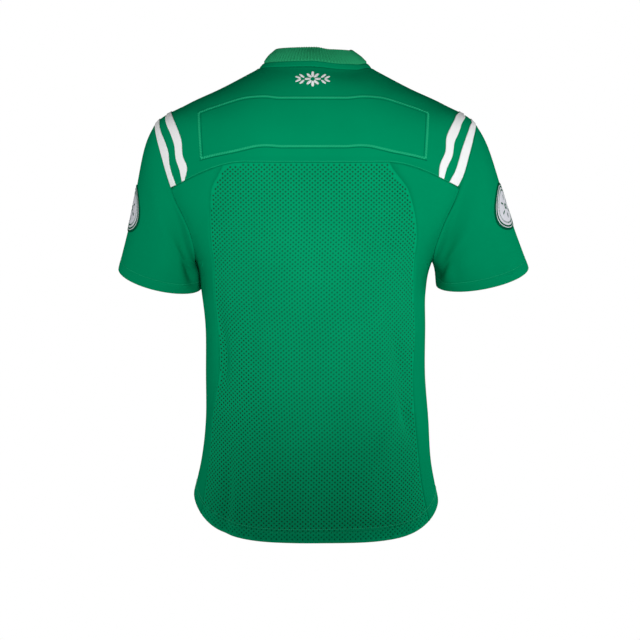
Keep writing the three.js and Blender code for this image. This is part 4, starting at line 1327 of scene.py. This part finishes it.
for word in CUFFS:
    turns = np.linspace(0, 2 * np.pi, 400)
    points, normals = sleeve_spot(word, turns, 0 * turns + 1)
    above = sleeve_point(word, turns, 0 * turns + 0.98)
    reach = 0.02 * CUFF_STITCH / np.linalg.norm(points - above, axis=-1)
    points, normals = sleeve_spot(word, turns, 1 - reach)
    piece(f"cuff_stitches_{word}", [running_stitch(points + 0.05 * normals, normals)],
                               [GREEN_THREAD])

# %% [markdown]
# Two white stripes run over each shoulder beside the armhole. Each lies between two ovals that
# grow out from the armhole's seam. The worn cloth under them creases, so down the back each edge
# wanders from its oval by a few millimetres, and white thread overcasts both edges.

# %% The stripes
STRIPES = {"outer": (0.4, 12.0), "inner": (26.0, 34.0)}
BENDS = {  # for each stripe, mm that its two edges move inwards at tenths of the way down the back
    ("left", "outer"): ((0, 0, 0, 0, 0, 0, 0, 0, 0, 0, 0),
                        (0, 0, 0, 0, -0.4, 0.6, 2.6, 3.0, -1.2, -1.9, -0.6)),
    ("left", "inner"): ((0, 0, 0, -1.6, -1.3, -0.2, 1.7, 1.6, -2.7, -2.4, -4.3),
                        (0, 0, 0, 1.0, 2.6, 4.6, 5.8, 5.2, 0, 0.5, -8.0)),
    ("right", "outer"): ((0, 0, 0, 0, 1.0, 1.5, 1.0, 0.8, 0.4, 1.0, 4.4),
                         (0, 0, 0, -1.0, 2.0, 3.3, 4.4, 4.8, 4.2, 5.0, 9.0)),
    ("right", "inner"): ((0, 0, 0, -1.5, 1.0, 3.7, 4.2, 5.4, 1.9, 4.0, 3.6),
                         (0, 0, 0, 2.5, 5.6, 7.4, 9.6, 10.0, 4.8, 6.0, 3.0)),
}


def stripe_edge(base, bends, along):
    """Turn and away of one edge of a stripe. along goes from -1 at the front seam to 1 at the back
    one; the bends are read on the back half and leave the front half straight."""
    away = base + column({"bend": np.array(bends, float)}, "bend", np.clip(along, 0, 1) * 10)
    return along * np.where(along > 0, seam_turn(base + bends[-1]), seam_turn(base)), away


def stripe(side, edges):
    """The grid between two edges, from one yoke seam to the other over the shoulder, with an
    overcast row along each edge."""
    along = (rim_shares(300, 170) * 2 - 1) * 0.995
    (near_turn, near), (far_turn, far) = (stripe_edge(base, bends, along) for base, bends in edges)
    share = rim_shares(10, 6)[:, None]
    _, angle, level = arm_spot(side, lerp(near_turn, far_turn, share), lerp(near, far, share))
    points, normals = body_spot(angle, level)
    parts = [applied(points, normals, cloth_of(points))]
    for turn, away in ((near_turn, near + 1.2), (far_turn, far - 1.2)):
        _, angle, level = arm_spot(side, turn * 0.99, away)
        parts.append(satin(*body_line(angle, level, APPLIED_TOP - 0.25), 1.9, 0.9, 15, 0.8, 0.4))
    return parts


for (word, name), bends in BENDS.items():
    edges = list(zip(STRIPES[name], bends))
    piece(f"stripe_{word}_{name}_cloth", stripe(CUFFS[word]["side"], edges), [WHITE_TRIM],
                         [f"stripe_{word}_{name}"])

# %% [markdown]
# Each sleeve carries a round embroidered patch. Its ground is a disc of white cloth with an
# overcast rim, and its design is a plain rosette: petals of satin stitch inside two rings. A place
# on the patch is given by its radius and bearing, which the sleeve's own slopes turn into the
# sleeve's turn and share.

# %% Places on a patch
PATCH_RADIUS = 39.5
PATCHES = {"left": (np.radians(17), 0.565), "right": (np.radians(24), 0.54)}


def patch_spot(name, radius, bearing):
    """The sleeve's point at a radius and bearing from the patch's middle, with its normal."""
    turn, down = PATCHES[name]
    around = (sleeve_point(name, turn + STEP, down) - sleeve_point(name, turn - STEP, down)) / (2 * STEP)
    along = (sleeve_point(name, turn, down + STEP) - sleeve_point(name, turn, down - STEP)) / (2 * STEP)
    skew = around @ along / (around @ around)
    straight = np.linalg.norm(along - skew * around)
    share = radius * np.cos(bearing) / straight
    round_it = radius * np.sin(bearing) / np.linalg.norm(around) - skew * share
    return sleeve_spot(name, turn + round_it, down + share)


def patch_line(name, radius, bearing, height):
    """A line on the patch at a height over the sleeve."""
    points, normals = patch_spot(name, radius, bearing)
    return points + normals * height, normals


print("patches", 2 * PATCH_RADIUS, "mm across")

# %% The patches
PETALS = 12
PATCH_GREEN = np.array([31.5, 34.4, 35.6, 39.6])  # radii between which the ground is green
circle = np.linspace(0, 2 * np.pi, 361)


def petals(name, count, middle, length, width, turn=0.0, height=APPLIED_TOP, paint=1):
    """Satin petals round the patch: strokes across each petal, as long as the petal is wide."""
    along = np.linspace(-1, 1, 25)[1:-1]
    bearing = 2 * np.pi * np.arange(count)[:, None] / count + turn
    radius = np.broadcast_to(middle + length / 2 * along, (count, len(along))).ravel()
    bearing = np.broadcast_to(bearing, (count, len(along))).ravel()
    points, normals = patch_line(name, radius, bearing, height)
    further, _ = patch_line(name, radius + 0.5, bearing, height)
    across = np.cross(normals, unit(further - points))
    reach = width * np.sqrt(1 - np.tile(along, count) ** 2) + 0.3
    return grains(points, across, normals, reach, 1.25 * length / len(along), 0.45, paint)


def patch(name):
    """A ground of white and green rings, an overcast rim, rings of thread, beads, petals, a middle."""
    rows = np.concatenate([[0.01], np.linspace(4, 30, 9), PATCH_GREEN, PATCH_RADIUS - RIM[::-1]])
    middles = (rows[:-1] + rows[1:]) / 2
    green = sum((middles > low) & (middles < high) for low, high in zip(PATCH_GREEN[::2], PATCH_GREEN[1::2]))
    radius, bearing = np.meshgrid(rows, circle[:-1:3], indexing="ij")
    points, normals = patch_spot(name, radius, bearing)
    points = points + normals * rim_height(PATCH_RADIUS - radius)[..., None]
    cloth = np.stack([radius * np.cos(bearing), radius * np.sin(bearing)], axis=-1)
    return [
        grid_part(points, normals, cloth, True, np.repeat(green, len(circle[:-1:3]))),
        satin(*patch_line(name, 37.9, circle, 0.9), 3.4, 1.0, 8, 1.05, 0.5, True, 1),
        satin(*patch_line(name, 35.0, circle, 1.1), 1.1, 0.9, 8, 0.9, 0.3, True),
        satin(*patch_line(name, 32.9, circle, 1.2), 2.7, 0.9, 8, 0.95, 0.4, True, 1),
        satin(*patch_line(name, 30.4, circle, 1.1), 1.8, 0.9, 8, 0.9, 0.3, True),
        satin(*patch_line(name, 27.2, circle, 1.1), 3.4, 2.3, 0, 1.6, 0.5, True, 1),
        petals(name, PETALS, 15.0, 14.0, 4.6, 0.0, APPLIED_TOP, 0),
        petals(name, PETALS // 2, 15.0, 9.0, 3.0, np.pi / PETALS, APPLIED_TOP, 1),
        satin(*patch_line(name, 3.6, circle, 1.2), 3.6, 0.9, 4, 0.9, 0.5, True, 1),
    ]


for word in PATCHES:
    piece(f"patch_{word}_embroidery", patch(word), [PATCH_THREAD, DARK_THREAD_AND_PAINTED_SHADOW],
                          [f"sleeve_patch_{word}"])

# %% [markdown]
# Below the collar sits a small white sprig in satin stitch: a flower with leaves to either side. It
# is drawn on the back in x and z, the two directions that a viewer behind the wearer sees.

# %% The embroidered sprig
SPRIG_X, SPRIG_Z = 4.0, -20.5


def sprig_petal(x, z, angle, length, width):
    """A leaf's middle, direction, length and width as one row."""
    return (x, z, np.radians(angle), length, width)


SPRIG_LEAVES = ((17, 5.0, 40), (17, -5.0, -40), (23, 2.6, 25), (23, -2.6, -25))
SPRIG = [sprig_petal(8.0 * np.cos(t), 8.0 * np.sin(t), np.degrees(t), 10.0, 5.2)
         for t in np.arange(8) * np.pi / 4]
SPRIG += [sprig_petal(side * x, z, 90 - side * (90 - lean), 9.5, 4.4)
          for side in (1, -1) for x, z, lean in SPRIG_LEAVES]


def sprig():
    """Satin strokes across every leaf of the sprig, placed on the back by x and z."""
    along = np.linspace(-1, 1, 15)[1:-1]
    x, z, angle, length, width = (np.array(values)[:, None] for values in zip(*SPRIG))
    px = SPRIG_X + x + np.cos(angle) * along * length / 2
    pz = SPRIG_Z + (z + np.sin(angle) * along * length / 2) * 0.95
    points, normals = body_spot(*back_spot(px.ravel(), pz.ravel()))
    ahead = body_point(*back_spot((px + np.cos(angle) * 0.5).ravel(), (pz + np.sin(angle) * 0.5).ravel()))
    across = np.cross(normals, unit(ahead - points))
    reach = (width * np.sqrt(1 - along ** 2)).ravel() + 0.3
    return [grains(points + 0.1 * normals, across, normals, reach, 1.1, 0.5)]


neck_sprig = piece("neck_embroidery", sprig(), [WHITE_THREAD])

# %% [markdown]

print("all pieces of cloth and thread built")

# %% [markdown]
# The photograph was taken from behind, a little above the middle of the jersey. The camera looks
# along its own line of sight, so its turn comes from the direction to the target.

# %% The camera
from mathutils import Vector

TARGET = Vector((-0.0075, 0.0, -0.4125))
ELEVATION = np.radians(6.0)
DISTANCE = 3.0
VIEW_WIDTH = 1.056  # metres across the picture at the target
SENSOR = 36.0

camera_data = bpy.data.cameras.new("camera")
camera_data.sensor_width = SENSOR
camera_data.lens = SENSOR * DISTANCE / VIEW_WIDTH
camera = bpy.data.objects.new("camera", camera_data)
bpy.context.scene.collection.objects.link(camera)
camera.location = TARGET + Vector((0, DISTANCE * np.cos(ELEVATION), DISTANCE * np.sin(ELEVATION)))
camera.rotation_euler = (TARGET - camera.location).to_track_quat("-Z", "Y").to_euler()
bpy.context.scene.camera = camera
print("lens", round(camera_data.lens, 2), "mm")

# %% [markdown]
# A photographer hangs the jersey in a white room. The room looks white to the camera but lights
# the cloth only softly, so that folds and armpits stay dark. A soft spot on the upper back fades
# towards the hem, and weak lights from both sides reach the sleeves. The front has the same set.

# %% Light and floor
FLOOR_Z = -1.5
FLOOR_HALF = 1.2
AMBIENT = 0.25  # strength of the white room's light on the cloth


def studio_light(name, kind, place, aim, size, power):
    """An area light, or a spot whose cone fades out from its middle, turned to its aim."""
    data = bpy.data.lights.new(name, kind)
    data.energy = power
    if kind == "AREA":
        data.size = size
    else:
        data.shadow_soft_size = size / 2
        data.spot_size = np.radians(43)
        data.spot_blend = 1.0
    light = bpy.data.objects.new(name, data)
    bpy.context.scene.collection.objects.link(light)
    light.location = place
    light.rotation_euler = (Vector(aim) - Vector(place)).to_track_quat("-Z", "Y").to_euler()
    return light


for word, far in (("back", 1), ("front", -1)):
    studio_light(f"key_{word}", "SPOT", (-0.08 * far, 1.68 * far, -0.2), (0, 0, -0.22), 0.4, 115)
    studio_light(f"right_{word}", "AREA", (-1.5, 0.4 * far, -0.42), (0, 0, -0.35), 0.5, 8)
    studio_light(f"left_{word}", "AREA", (1.5, 0.4 * far, -0.3), (0, 0, -0.3), 0.5, 5)

world = bpy.data.worlds.new("white_room")
world.use_nodes = True
sky_nodes, sky_links = world.node_tree.nodes, world.node_tree.links
sky_path = sky_nodes.new("ShaderNodeLightPath")
sky_strength = sky_nodes.new("ShaderNodeMapRange")
sky_strength.inputs["To Min"].default_value = AMBIENT
sky_strength.inputs["To Max"].default_value = 1.0
sky_nodes["Background"].inputs["Color"].default_value = (1, 1, 1, 1)
sky_links.new(sky_path.outputs["Is Camera Ray"], sky_strength.inputs["Value"])
sky_links.new(sky_strength.outputs["Result"], sky_nodes["Background"].inputs["Strength"])
bpy.context.scene.world = world
bpy.context.scene.view_settings.view_transform = "Standard"

floor_mesh = bpy.data.meshes.new("floor")
floor_corners = [(x * FLOOR_HALF, y * FLOOR_HALF, FLOOR_Z) for x, y in ((-1, -1), (1, -1), (1, 1), (-1, 1))]
floor_mesh.from_pydata(floor_corners, [], [(0, 1, 2, 3)])
floor = bpy.data.objects.new("floor", floor_mesh)
bpy.context.scene.collection.objects.link(floor)
floor_material = bpy.data.materials.new("pale_floor")
floor_material.use_nodes = True
floor_material.node_tree.nodes["Principled BSDF"].inputs["Base Color"].default_value = (0.95, 0.95, 0.95, 1)
floor_material.node_tree.nodes["Principled BSDF"].inputs["Roughness"].default_value = 0.9
floor_mesh.materials.append(floor_material)
print("floor at", FLOOR_Z, "m")
